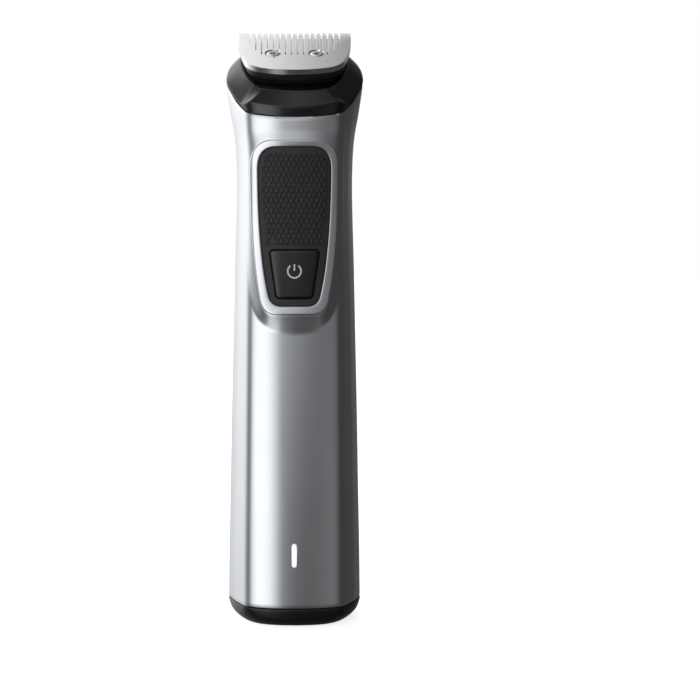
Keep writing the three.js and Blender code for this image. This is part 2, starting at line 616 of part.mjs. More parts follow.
// A leaf spring held under the screw bosses, with two fingers that lift the cutter.
function makeCutterSpring() {
  const { bottom, top, eye, barFront, barBack, fingerHalf } = SPRING;
  let leaf = box(-GUARD_SCREW.u, GUARD_SCREW.u, barFront, barBack, bottom, top);
  for (const side of [-1, 1]) {
    const u = side * GUARD_SCREW.u;
    leaf = leaf.add(rod(eye, u, GUARD_SCREW.v, bottom, top));
    leaf = leaf.subtract(rod(BOSS_RADIUS + GAP, u, GUARD_SCREW.v, bottom - 1, top + 1));
  }
  const outline = SPRING_FINGER.map(([v, w]) => new THREE.Vector2(v, w));
  for (const side of [-1, 1]) {
    const u = side * GUARD_SCREW.u;
    leaf = leaf.add(toSolid(alongX(prism(outline, u - fingerHalf, u + fingerHalf))));
  }
  addNode('cutter_spring', leaf, 'steel', head);
}

makeShells();
makeCollar();
makeBaseCap();
makeBaseSeal();
makeGrip();
makeIndicator();
makeSocket();
makeChassis();
makeBoard();
makeBattery();
makeMotor();
makeNeckSeal();
makeGuardPlate();
makeHeadBase();
makeCutter();
makeCutterSpring();

export default trimmer;
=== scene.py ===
"""Beard trimmer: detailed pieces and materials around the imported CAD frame.

The frame is in metres, +Z up to the cutting head, -Y the front. Shapes are worked out in millimetres
and scaled when a mesh is made.
"""

import json
import math

import bmesh
import bpy
import numpy as np
from mathutils import Matrix, Vector


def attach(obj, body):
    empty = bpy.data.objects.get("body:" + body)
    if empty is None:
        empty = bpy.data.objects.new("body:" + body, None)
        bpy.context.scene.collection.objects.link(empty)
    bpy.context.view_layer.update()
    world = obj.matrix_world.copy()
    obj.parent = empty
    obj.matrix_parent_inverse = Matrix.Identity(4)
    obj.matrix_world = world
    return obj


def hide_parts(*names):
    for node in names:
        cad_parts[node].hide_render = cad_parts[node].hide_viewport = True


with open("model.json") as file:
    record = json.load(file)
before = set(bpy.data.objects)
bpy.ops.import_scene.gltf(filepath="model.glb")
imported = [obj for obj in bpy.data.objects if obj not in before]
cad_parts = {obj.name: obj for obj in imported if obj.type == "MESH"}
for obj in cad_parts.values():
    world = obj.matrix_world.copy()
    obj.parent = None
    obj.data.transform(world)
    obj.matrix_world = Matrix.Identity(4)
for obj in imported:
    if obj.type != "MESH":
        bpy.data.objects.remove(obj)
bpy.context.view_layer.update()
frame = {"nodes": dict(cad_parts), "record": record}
MM = 0.001

# ---------------------------------------------------------------- dimensions that follow the CAD part

# In millimetres. A few differ a little from the part's own: the half width at the flare, the slits' width,
# the teeth's tips and the deck's edge.

GAP = 0.3
WALL = 1.8
SEAM_Y = 3.0
CAP_HEIGHT = 5.7
CAP_FLOOR = 2.2
STATIONS = np.array([  # z, half width, front y, back y, half width of the face's crease
    [0, 19.3, -16.7, 16.7, 14.1],
    [20, 19.0, -16.6, 16.4, 14.0],
    [40, 18.55, -16.45, 15.7, 13.8],
    [60, 18.15, -16.1, 14.8, 13.6],
    [80, 17.65, -15.7, 13.9, 13.4],
    [100, 17.15, -15.2, 13.1, 13.2],
    [118, 16.6, -14.6, 12.8, 13.0],
    [128, 16.5, -14.2, 13.2, 13.0],
    [138, 17.0, -13.8, 14.2, 13.2],
    [147, 18.5, -13.6, 15.4, 13.6],
    [156, 19.62, -13.5, 16.2, 14.0],
    [172, 19.62, -13.5, 16.4, 14.4],
])
FACE_RADIUS = 36.0
SIDE_POINT = 0.46
BACK_ROUND = 2.5
COLLAR_LINE = np.array([
    [-20, 140.9], [-13.8, 144.4], [-10, 146.2], [-6, 148.8], [-2.5, 151.6], [0.5, 153.7], [4, 156],
    [8, 158.2], [12, 159.9], [20, 162.2],
])
LIP_HEIGHT, LIP_SLOPE = 155.6, 0.6  # the collar's upper edge lies in a plane: height at y = 0, rise per y
HEAD_TILT = math.radians(30)
HEAD_ORIGIN = np.array([0, -9.5, 157.7])
BLADE_ARCS = [(34.4, 0, 16, 14), (7, 16, 74, 20), (47, 74, 90, 12)]  # radius, start and end in degrees, steps
BLADE_LENGTH = 21.25
TIP_LENGTH = 2.6
TOOTH_TIP = 0.75
TIP_DROP = 0.43
BLADE_THICKNESS = 1.7
SLIT_PITCH = 1.705
SLIT_WIDTH = 0.32
SLIT_STARTS = [9.5, 9.5, 13, 13.5, 13, 9.6, 12.2, 16.7]
GUARD_SCREW = dict(u=6.2, v=10.2, head=2.3, shank=1.0, length=4.6)
BASE_TOP, BASE_SHELF, BASE_BOTTOM, BASE_FLOOR = -2.0, -4.4, -6.9, -5.6
BASE_BACK = 17.5
BASE_INSET, PLUG_INSET, CAVITY_INSET, BOSS_RADIUS = 0.6, 1.2, 2.2, 1.7
DECK_TOP, DECK_BOTTOM = -4.9, -7.0
DECK_EDGE = np.array([  # right half of the deck's edge, u and v
    [0, -3.2], [5, -2.75], [9.05, -1.8], [11.3, 0.3], [13.4, 4], [14.8, 8.5], [15.6, 13], [15.6, 17.5],
    [13.6, 21.6], [9, 23.6], [0, 24.3],
])
CUTTER = dict(half=13.2, front=14.6, bottom=-3.0)
YOKE_SLOT = dict(half=2.65, front=3.7, back=8.6)
PAD = dict(top=136.3, bottom=91.9, half=10.26, straight=130, radius=5.5, bow=(10.1, 107))
PAD_FOOT = dict(half=6.45, reach=2.85, lean=0.8, rise=2.9)
BEZEL_WIDTH = 2.4
BEZEL_RISE = (1.3, 0.45)
PAD_DROP = 0.45
BUTTON_DROP = 0.1
BUTTON = dict(top=107.6, bottom=94.2, half_top=6.9, half_bottom=5.05, radius=1.2)
STEM = dict(radius=2.0, z=101.2, front=-14.4, back=-10.3)
LENS = dict(half=0.75, bottom=17.8, top=24.5, back=-8.4)
SOCKET = dict(y=6.5, width=11.0, depth=7.6)
BASE_SCREW = dict(x=10.5, y=-2.4, head=2.1, shank=1.0, bottom=0.9)
SIDES = ((-1, "left"), (1, "right"))


# ---------------------------------------------------------------- curves

def hermite(knots, values, slopes, at):
    """Cubic interpolation of values with given slopes at the knots."""
    at = np.clip(np.asarray(at, float), knots[0], knots[-1])
    i = np.clip(np.searchsorted(knots, at, side="right") - 1, 0, len(knots) - 2)
    span = knots[i + 1] - knots[i]
    t = (at - knots[i]) / span
    t2, t3 = t * t, t * t * t
    return ((2 * t3 - 3 * t2 + 1) * values[i] + (t3 - 2 * t2 + t) * span * slopes[i]
            + (3 * t2 - 2 * t3) * values[i + 1] + (t3 - t2) * span * slopes[i + 1])


def station(z, column):
    """A column of STATIONS at the heights z, by cubic interpolation."""
    zs, values = STATIONS[:, 0], STATIONS[:, column]
    order = np.arange(len(zs))
    low, high = np.maximum(order - 1, 0), np.minimum(order + 1, len(zs) - 1)
    return hermite(zs, values, (values[high] - values[low]) / (zs[high] - zs[low]), z)


def spline(points, per_span):
    """A smooth line through points."""
    p = np.asarray(points, float)
    knots = arc_lengths(p)
    at = np.concatenate([np.linspace(a, b, per_span, endpoint=False) for a, b in zip(knots, knots[1:])]
                        + [knots[-1:]])
    return np.column_stack([hermite(knots, c, np.gradient(c, knots), at) for c in p.T])


def arc_lengths(points):
    return np.concatenate([[0], np.cumsum(np.linalg.norm(np.diff(points, axis=0), axis=1))])


def resample(points, count, closed=True):
    """Points evenly spaced along a line."""
    p = np.asarray(points, float)
    if closed:
        p = np.vstack([p, p[:1]])
    s = arc_lengths(p)
    t = np.linspace(0, s[-1], count, endpoint=not closed)
    return np.column_stack([np.interp(t, s, p[:, k]) for k in range(p.shape[1])])


def soften(points, sigma, count):
    """A closed outline, evenly spaced, with its corners rounded over about sigma."""
    p = resample(points, count)
    length = np.linalg.norm(np.roll(p, -1, axis=0) - p, axis=1).sum()
    freq = np.fft.fftfreq(count, d=length / count)
    weight = np.exp(-2 * (np.pi * freq * sigma) ** 2)[:, None]
    return np.real(np.fft.ifft(np.fft.fft(p, axis=0) * weight, axis=0))


def mirrored(half):
    """A closed outline from its right half, which starts and ends on the middle plane."""
    return np.vstack([half, half[1:-1][::-1] * ([-1] + [1] * (half.shape[1] - 1))])


def at_height(outline, z):
    """Outline points of x and y, or u and v, with a third coordinate."""
    return np.column_stack([outline, np.full(len(outline), z)])


def upright(outline, y):
    """Outline points of x and z at the depth y."""
    return np.column_stack([outline[:, 0], np.full(len(outline), y), outline[:, 1]])


RING_COUNT = 1200
CREASE_SOFTNESS = 1.0


def body_ring(z, grow=0.0):
    """The body's softened outline at height z, from the front middle towards +X, in x and y."""
    half = float(station(z, 1)) + grow
    front = float(station(z, 2)) - grow
    back = float(station(z, 3)) + grow
    crease = float(station(z, 4)) + grow * 0.8
    side_y = front + (back - front) * SIDE_POINT
    xs = crease * np.linspace(0, 1, 30)
    arc = np.column_stack([xs, front + FACE_RADIUS - np.sqrt(FACE_RADIUS ** 2 - xs ** 2)])
    crease_y = arc[-1, 1]
    middle = [crease + (half - crease) * 0.62, crease_y + (side_y - crease_y) * 0.5]
    angle = np.linspace(0, math.pi / 2, 60)
    rear = np.column_stack([
        half * np.clip(np.cos(angle), 0, 1) ** (2 / BACK_ROUND),
        side_y + (back - side_y) * np.sin(angle) ** (2 / BACK_ROUND),
    ])
    return soften(mirrored(np.vstack([arc, [middle], rear])), CREASE_SOFTNESS, RING_COUNT)


def collar_line(y):
    """Height of the line between the silver body and the black collar, at the depths y."""
    ys, heights = COLLAR_LINE.T
    return hermite(ys, heights, np.gradient(heights, ys), y)


def lip_plane(y):
    """Height of the collar's upper edge at the depths y."""
    return LIP_HEIGHT + LIP_SLOPE * np.asarray(y, float)


class BodySurface:
    """The body's surface grown by an amount, as a table of its outline at close heights."""

    STEP = 0.25

    def __init__(self, grow):
        self.heights = np.arange(0, 172 + self.STEP, self.STEP)
        half = RING_COUNT // 2
        self.table = np.array([body_ring(z, grow)[:half + 1] for z in self.heights])
        lengths = np.linalg.norm(np.diff(self.table, axis=1), axis=2)
        self.along = np.concatenate([np.zeros((len(self.heights), 1)), np.cumsum(lengths, axis=1)], axis=1)

    def columns(self, start_y, end_y, shares):
        """Points of the right half between two depths, as an array of height, column, x and y."""
        points = []
        for row, s in zip(self.table, self.along):
            low = 0.0 if start_y is None else np.interp(start_y, row[:, 1], s)
            high = s[-1] if end_y is None else np.interp(end_y, row[:, 1], s)
            at = low + (high - low) * shares
            points.append(np.column_stack([np.interp(at, s, row[:, 0]), np.interp(at, s, row[:, 1])]))
        return np.array(points)

    def front_y(self, x, z):
        """Depth of the front face at x and z."""
        x, z = np.broadcast_arrays(np.abs(np.asarray(x, float)), np.asarray(z, float))
        out = np.empty(x.shape)
        for index in np.ndindex(x.shape):
            k = z[index] / self.STEP
            k0 = int(min(max(math.floor(k), 0), len(self.heights) - 2))
            y0, y1 = (np.interp(x[index], row[:200, 0], row[:200, 1]) for row in self.table[k0:k0 + 2])
            out[index] = y0 + (y1 - y0) * (k - k0)
        return out


def pick(table, z):
    """One point for each column of a surface's table, at the height z of that column."""
    k = np.clip(np.asarray(z) / BodySurface.STEP, 0, len(table) - 1.001)
    k0 = np.floor(k).astype(int)
    t = (k - k0)[:, None]
    cols = np.arange(table.shape[1])
    return table[k0, cols] * (1 - t) + table[k0 + 1, cols] * t


outer_body = BodySurface(0.0)
inner_body = BodySurface(-WALL)


def blade_half(inset, back):
    """Right half of the blade's outline from the front middle, in u and v."""
    points = [(0.0, inset)]
    u, v = 0.0, inset
    for radius, start, end, count in BLADE_ARCS:
        r = radius - inset
        a0 = math.radians(start)
        for i in range(1, count + 1):
            a = math.radians(start + (end - start) * i / count)
            points.append((u + r * (math.sin(a) - math.sin(a0)), v + r * (math.cos(a0) - math.cos(a))))
        u, v = points[-1]
    kept = [p for p in points if p[1] < back - 0.05]
    last, after = kept[-1], points[len(kept):]
    end_u = last[0]
    if after:
        end_u += (after[0][0] - last[0]) * (back - last[1]) / (after[0][1] - last[1])
    return np.array(kept + [(end_u, back)])


def blade_outline(inset, back):
    half = blade_half(inset, back)
    return np.vstack([half, half[1:][::-1] * [-1, 1]])


def to_body(points):
    """Points of the head frame (u across, v up the blade, w out of its face) in the body frame."""
    p = np.asarray(points, float)
    c, s = math.cos(HEAD_TILT), math.sin(HEAD_TILT)
    return np.column_stack([p[:, 0], p[:, 1] * c - p[:, 2] * s, p[:, 1] * s + p[:, 2] * c]) + HEAD_ORIGIN


def quadratic(a, b, c, count):
    t = np.linspace(0, 1, count + 1)[1:, None]
    a, b, c = (np.array(p, float) for p in (a, b, c))
    return a * (1 - t) ** 2 + 2 * b * t * (1 - t) + c * t ** 2


def pad_outline(grow, steps=16):
    """The grip pad's outline in x and z, counter-clockwise from the front, grown by a margin."""
    top, low, half = PAD["top"] + 0.8 * grow, PAD["bottom"] - grow, PAD["half"] + grow
    radius = PAD["radius"] + 0.5 * grow
    corner = PAD_FOOT["half"] + 0.9 * grow
    start = corner - PAD_FOOT["reach"] - 0.3 * grow
    end = (corner + PAD_FOOT["lean"] + 0.1 * grow, low + PAD_FOOT["rise"] + 0.25 * grow)
    line = [[x, low] for x in np.linspace(0, start, steps // 2 + 1)]
    line += quadratic(line[-1], (corner, low), end, steps).tolist()
    bow = (PAD["bow"][0] + grow, PAD["bow"][1])
    line += quadratic(line[-1], bow, (half, PAD["straight"]), steps * 3).tolist()
    line += quadratic(line[-1], (half, top), (half - radius, top), steps + 4).tolist()
    line += [[x, top] for x in np.linspace(half - radius, 0, steps + 1)[1:]]
    return mirrored(np.array(line))


def button_outline(grow):
    """The power button's outline in x and z, grown by a margin."""
    steps = 8
    t, b = BUTTON["top"] + grow, BUTTON["bottom"] - grow
    ht, hb = BUTTON["half_top"] + grow, BUTTON["half_bottom"] + grow
    r = BUTTON["radius"] + grow
    half = [[x, b] for x in np.linspace(0, hb - r, 9)]
    half += quadratic(half[-1], (hb, b), (hb + 0.15, b + r), steps).tolist()
    low, high = np.array(half[-1]), np.array([ht - 0.1, t - r])
    half += [(low + (high - low) * k).tolist() for k in np.linspace(0, 1, 19)[1:]]
    half += quadratic(half[-1], (ht, t), (ht - r, t), steps).tolist()
    half += [[x, t] for x in np.linspace(ht - r, 0, 11)[1:]]
    return mirrored(np.array(half))


def slot_outline(half, bottom, top, margin=0.0):
    """An upright slot with round ends in x and z, grown by a margin."""
    r = half + margin
    a = np.linspace(0, math.pi, 17)
    upper = np.column_stack([r * np.cos(a), top - half + r * np.sin(a)])
    lower = np.column_stack([-r * np.cos(a), bottom + half - r * np.sin(a)])
    return np.vstack([upper, lower])


def offset_outline(points, distance, least=0.25):
    """A closed counter-clockwise outline moved in by a distance; least limits its mitred corners."""
    p = np.asarray(points, float)
    edges = [p - np.roll(p, 1, axis=0), np.roll(p, -1, axis=0) - p]
    before, after = (np.column_stack([-e[:, 1], e[:, 0]]) / np.linalg.norm(e, axis=1)[:, None] for e in edges)
    mitre = np.maximum(1 + (before * after).sum(1), least)
    return p + (before + after) * (distance / mitre)[:, None]


def polygon_distance(points, outline):
    """Signed distance of points to a closed outline, negative inside."""
    p = np.asarray(points, float)[:, None, :]
    a = np.asarray(outline, float)[None, :, :]
    b = np.roll(a, -1, axis=1)
    ab = b - a
    t = np.clip(((p - a) * ab).sum(2) / np.maximum((ab ** 2).sum(2), 1e-12), 0, 1)
    distance = np.sqrt((((a + ab * t[..., None]) - p) ** 2).sum(2)).min(1)
    crosses = (a[..., 1] > p[..., 1]) != (b[..., 1] > p[..., 1])
    slope = np.where(np.abs(ab[..., 1]) < 1e-12, 1e-12, ab[..., 1])
    at = a[..., 0] + (p[..., 1] - a[..., 1]) / slope * ab[..., 0]
    inside = (crosses & (p[..., 0] < at)).sum(1) % 2 == 1
    return np.where(inside, -distance, distance)


def grip_rise(z):
    """How far the grip's frame stands proud of the face at height z."""
    low, high = PAD["bottom"] - BEZEL_WIDTH, PAD["top"] + BEZEL_WIDTH
    return np.interp(z, [low, high], BEZEL_RISE)


# ---------------------------------------------------------------- meshes

def make_object(name, verts, faces):
    """An object from vertices in millimetres and faces, with its normals outward."""
    mesh = bpy.data.meshes.new(name)
    mesh.from_pydata((np.asarray(verts, float) * MM).tolist(), [], [list(map(int, f)) for f in faces])
    work = bmesh.new()
    work.from_mesh(mesh)
    bmesh.ops.remove_doubles(work, verts=work.verts, dist=1e-7)
    bmesh.ops.recalc_face_normals(work, faces=work.faces)
    work.to_mesh(mesh)
    work.free()
    obj = bpy.data.objects.new(name, mesh)
    bpy.context.scene.collection.objects.link(obj)
    return obj


def boolean(obj, *others, operation="DIFFERENCE"):
    """Cuts the other objects from obj, or joins them to it, and removes them."""
    for other in others:
        modifier = obj.modifiers.new("boolean", "BOOLEAN")
        modifier.operation = operation
        modifier.solver = "EXACT"
        modifier.object = other
        graph = bpy.context.evaluated_depsgraph_get()
        mesh = bpy.data.meshes.new_from_object(obj.evaluated_get(graph))
        obj.modifiers.clear()
        old = obj.data
        obj.data = mesh
        bpy.data.meshes.remove(old)
        bpy.data.objects.remove(other)


def shade(obj, angle):
    """Smooth shading with sharp edges above an angle in degrees."""
    obj.data.shade_smooth()
    obj.data.set_sharp_from_angle(angle=math.radians(angle))


def finish_piece(obj, material, body, slot, *replaced, angle=35):
    """Gives a piece its material and shading, and tells the frame where it belongs."""
    obj.data.materials.clear()
    obj.data.materials.append(material)
    shade(obj, angle)
    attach(obj, body)
    if replaced:
        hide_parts(*replaced)


def stack(rings, capped=True):
    """Vertices and faces of a tube through closed rings of as many points each."""
    count = len(rings[0])
    verts = np.vstack(rings)
    faces = []
    for k in range(len(rings) - 1):
        for j in range(count):
            a, b = k * count + j, k * count + (j + 1) % count
            faces.append((a, b, b + count, a + count))
    if capped:
        last = (len(rings) - 1) * count
        faces += [tuple(range(count))[::-1], tuple(range(last, last + count))]
    return verts, faces


def joined(parts):
    """Vertices and faces of several solids, as one list each."""
    verts, faces = [], []
    for part_verts, part_faces in parts:
        faces += [tuple(len(verts) + k for k in face) for face in part_faces]
        verts += np.asarray(part_verts).tolist()
    return verts, faces


def tube(name, rings):
    return make_object(name, *stack(rings))


def closed_loop(name, rings):
    """A tube whose last ring joins its first, such as a frame swept around."""
    count = len(rings[0])
    verts, faces = stack(rings, False)
    last = (len(rings) - 1) * count
    faces += [(last + j, last + (j + 1) % count, (j + 1) % count, j) for j in range(count)]
    return make_object(name, verts, faces)


def prism_y(name, outline, y0, y1):
    """An outline in x and z, drawn out along Y."""
    return tube(name, [upright(outline, y) for y in (y0, y1)])


def prism_w(name, outline, w0, w1):
    """An outline of the head frame, drawn out along w."""
    return tube(name, [to_body(at_height(outline, w)) for w in (w0, w1)])


def box_outline(x0, x1, y0, y1):
    return np.array([[x0, y0], [x1, y0], [x1, y1], [x0, y1]], float)


def circle(radius, x, y, count=40):
    a = np.linspace(0, 2 * math.pi, count, endpoint=False)
    return np.column_stack([x + radius * np.cos(a), y + radius * np.sin(a)])


def prism_z(name, outline, z0, z1):
    return tube(name, [at_height(outline, z) for z in (z0, z1)])


def lathe_w(name, profile, centre):
    """A profile of radius and height w, turned about an axis of the head frame at centre."""
    rings = []
    for radius, height in profile:
        rings.append(to_body(at_height(circle(max(radius, 0.02), *centre, 48), height)))
    return tube(name, rings)


# ---------------------------------------------------------------- handle shells

def hump_outline():
    """Foot of the raised ramp around the grip, in x and z."""
    half = [(0, 84.1), (4.7, 84.5), (6.9, 85.3), (8.6, 86.3), (10.1, 88.2), (11.3, 90.6), (12.1, 93.5),
            (12.6, 96.2), (13.1, 101), (13.5, 108), (13.8, 118), (13.9, 128), (13.8, 136), (13.1, 139.2),
            (11.5, 140.2), (8, 140.5), (0, 140.6)]
    return soften(mirrored(np.array(half, float)), 0.5, 400)


HUMP_FOOT = hump_outline()
HUMP_TOP = pad_outline(BEZEL_WIDTH, 8)
HUMP_DROP = 0.2  # the ramp's top edge lies this far below the frame's edge
HUMP_REACH = dict(half=15, bottom=82, top=142)  # nothing of the ramp lies outside this
HUMP_ROUND = 0.004


def hump_height(x, z):
    """Height of the ramp that rises from the face to the grip's frame."""
    points = np.column_stack([x, z])
    height = np.zeros(len(points))
    near = ((np.abs(points[:, 0]) < HUMP_REACH["half"]) & (points[:, 1] > HUMP_REACH["bottom"])
            & (points[:, 1] < HUMP_REACH["top"]))
    foot = polygon_distance(points[near], HUMP_FOOT)
    top = polygon_distance(points[near], HUMP_TOP)
    inside = np.clip(-foot, 0, None)
    share = inside / np.maximum(inside + np.clip(top, 0, None), 1e-6)
    rounded = 0.5 * (share + np.sqrt(share ** 2 + HUMP_ROUND)) - 0.5 * math.sqrt(HUMP_ROUND) * (1 - share)
    rounded = np.where(foot > 0, 0, np.clip(rounded, 0, 1))
    height[near] = rounded * (grip_rise(points[near][:, 1]) - HUMP_DROP)
    return height


def half_shell(name, start_y, end_y, columns, rows, front):
    """Half of the handle's casing: a fine outer skin, a plain inner one, and rims with small bevels."""
    bevel = 0.14
    fine = np.linspace(0, 1, columns + 1)
    tables = []
    for surface, shares in ((outer_body, fine), (inner_body, fine), (inner_body, fine[::4])):
        right = surface.columns(start_y, end_y, shares)
        left = (right[:, 1:] if front else right[:, :-1])[:, ::-1] * [-1, 1]
        tables.append(np.concatenate([left, right] if front else [right, left], axis=1))
    bottom = CAP_HEIGHT + GAP / 2

    def top_heights(table):
        z = np.full(table.shape[1], 150.0)
        for _ in range(12):
            z = collar_line(pick(table, z)[:, 1]) - GAP / 2
        return z

    def skin(table, shares, deep=None):
        tops = top_heights(table)
        lines = []
        for share, inset in shares:
            z = bottom + (tops - bottom) * share
            xy = pick(table, z)
            if deep is not None:
                edge = np.full(len(z), inset)
                edge[0] = edge[-1] = max(inset, bevel)
                xy += (pick(deep, z) - xy) * (edge / WALL)[:, None]
                if front:
                    xy[:, 1] -= hump_height(xy[:, 0], z)
            lines.append(np.column_stack([xy, z]))
        return np.array(lines)

    shares = np.linspace(0, 1, rows + 1)
    fine_shares = [(s, bevel if k in (0, rows) else 0.0) for k, s in enumerate(shares)]
    outer = skin(tables[0], fine_shares, tables[1])
    inner = skin(tables[2], [(s, 0.0) for s in shares[::4]])
    verts = np.vstack([outer.reshape(-1, 3), inner.reshape(-1, 3)])
    out_id = np.arange(outer[..., 0].size).reshape(outer.shape[:2])
    in_id = np.arange(inner[..., 0].size).reshape(inner.shape[:2]) + out_id.size
    faces = [(out_id[k, j], out_id[k, j + 1], out_id[k + 1, j + 1], out_id[k + 1, j])
             for k in range(rows) for j in range(out_id.shape[1] - 1)]
    faces += [(in_id[k, j], in_id[k + 1, j], in_id[k + 1, j + 1], in_id[k, j + 1])
              for k in range(rows // 4) for j in range(in_id.shape[1] - 1)]
    faces += [[*out_id[end, 4 * j:4 * j + 5], in_id[end, j + 1], in_id[end, j]]
              for j in range(in_id.shape[1] - 1) for end in (0, -1)]
    faces += [[*out_id[4 * k:4 * k + 5, end], in_id[k + 1, end], in_id[k, end]]
              for k in range(rows // 4) for end in (0, -1)]
    return make_object(name, verts, faces)


FRONT_GRID, REAR_GRID = (84, 236), (72, 200)  # columns and rows of each shell's outer skin
IN_FRONT = -30  # a depth in front of everything, where cuts from the front start


def make_shells(silver):
    front = half_shell("front_shell_skin", None, SEAM_Y - GAP / 2, *FRONT_GRID, True)
    boolean(front, prism_y("cut", pad_outline(BEZEL_WIDTH - 1.0, 8), IN_FRONT, 0))
    lens_hole = slot_outline(LENS["half"], LENS["bottom"], LENS["top"], 0.14)
    boolean(front, prism_y("cut", lens_hole, IN_FRONT, -2))
    finish_piece(front, silver, "handle", "silver_shell", "front_shell", angle=50)
    rear = half_shell("rear_shell_skin", SEAM_Y + GAP / 2, None, *REAR_GRID, False)
    finish_piece(rear, silver, "handle", "silver_shell", "rear_shell", angle=50)


TONGUE = dict(bottom=8.2, top=147, reach=1.3, near=0.04, far=0.5)  # near, far: depth under the inner wall


def make_seam_tongues(silver):
    """Strips inside the casing that close the seam between its halves."""
    ys = np.array([SEAM_Y - TONGUE["reach"], SEAM_Y + TONGUE["reach"]])
    for side, word in SIDES:
        rings = []
        for z in np.linspace(TONGUE["bottom"], TONGUE["top"], 60):
            row = inner_body.table[int(z / BodySurface.STEP)]
            x = np.interp(ys, row[:, 1], row[:, 0])
            corners = [*zip(x - TONGUE["near"], ys), *zip(x[::-1] - TONGUE["far"], ys[::-1])]
            rings.append(at_height(np.array(corners) * [side, 1], z))
        finish_piece(tube(f"seam_tongue_{word}", rings), silver, "handle", "silver_shell")


# ---------------------------------------------------------------- base cap

CAP_PROFILE = [  # height, inset from the body's outline, rounding of the outline
    (0, 3.7, 3.6), (0.06, 3.4, 3.6), (0.25, 3.0, 3.5), (0.7, 2.35, 3.4), (1.3, 1.65, 3.2), (1.9, 1.1, 3.0),
    (2.4, 0.74, 2.8), (2.75, 0.55, 2.6), (2.95, 0.48, 2.5), (3.2, 0.4, 2.3), (3.8, 0.24, 1.9),
    (4.4, 0.12, 1.4), (5.0, 0.04, 0.9), (5.3, 0.02, 0.5), (5.46, 0.06, 0.3),
]


def make_base_cap(material):
    def ring(z, inset, softness=0.0):
        outline = body_ring(0, -inset)[::5]
        if softness:
            outline = soften(outline, softness, len(outline))
        return at_height(outline, z)

    top = CAP_HEIGHT - GAP / 2
    rings = [ring(*row) for row in CAP_PROFILE]
    rings += [ring(top, 0.17, 0.2), ring(top, WALL), ring(CAP_FLOOR, 4.2)]
    cap = tube("base_cap_body", rings)
    half_x, half_y = SOCKET["width"] / 2 + GAP, SOCKET["depth"] / 2 + GAP
    mouth = box_outline(-half_x, half_x, SOCKET["y"] - half_y, SOCKET["y"] + half_y)
    cutters = [prism_z("cut", mouth, -1, 9)]
    for side in (-1, 1):
        x, y = side * BASE_SCREW["x"], BASE_SCREW["y"]
        boss = prism_z("boss", circle(BASE_SCREW["head"] + 1.2, x, y), 1, 7.2)
        boolean(cap, boss, operation="UNION")
        seat = BASE_SCREW["bottom"] + 1.9
        cutters.append(prism_z("cut", circle(BASE_SCREW["head"] + GAP, x, y), -1, seat))
        cutters.append(prism_z("cut", circle(BASE_SCREW["shank"] + GAP, x, y, 24), 0, 9))
    boolean(cap, *cutters)
    finish_piece(cap, material, "handle", "black_satin", "base_cap", angle=40)


# ---------------------------------------------------------------- collar

LIP_LEAN = 0.34  # how far the lip's foot is drawn in
LIP_SIDE = 0.9  # height of the lip at the sides
LIP_FADE = (12.6, 15.2)  # x between which the lip falls to that height
LIP_BACK = (4, 12)  # y between which it rises again towards the back
LIP_CORNERS = (13.25, 15.0)  # x on the body's outline where the corner facet starts and ends
DECK_CORNERS = (9.05, 11.3)  # u on the deck's edge


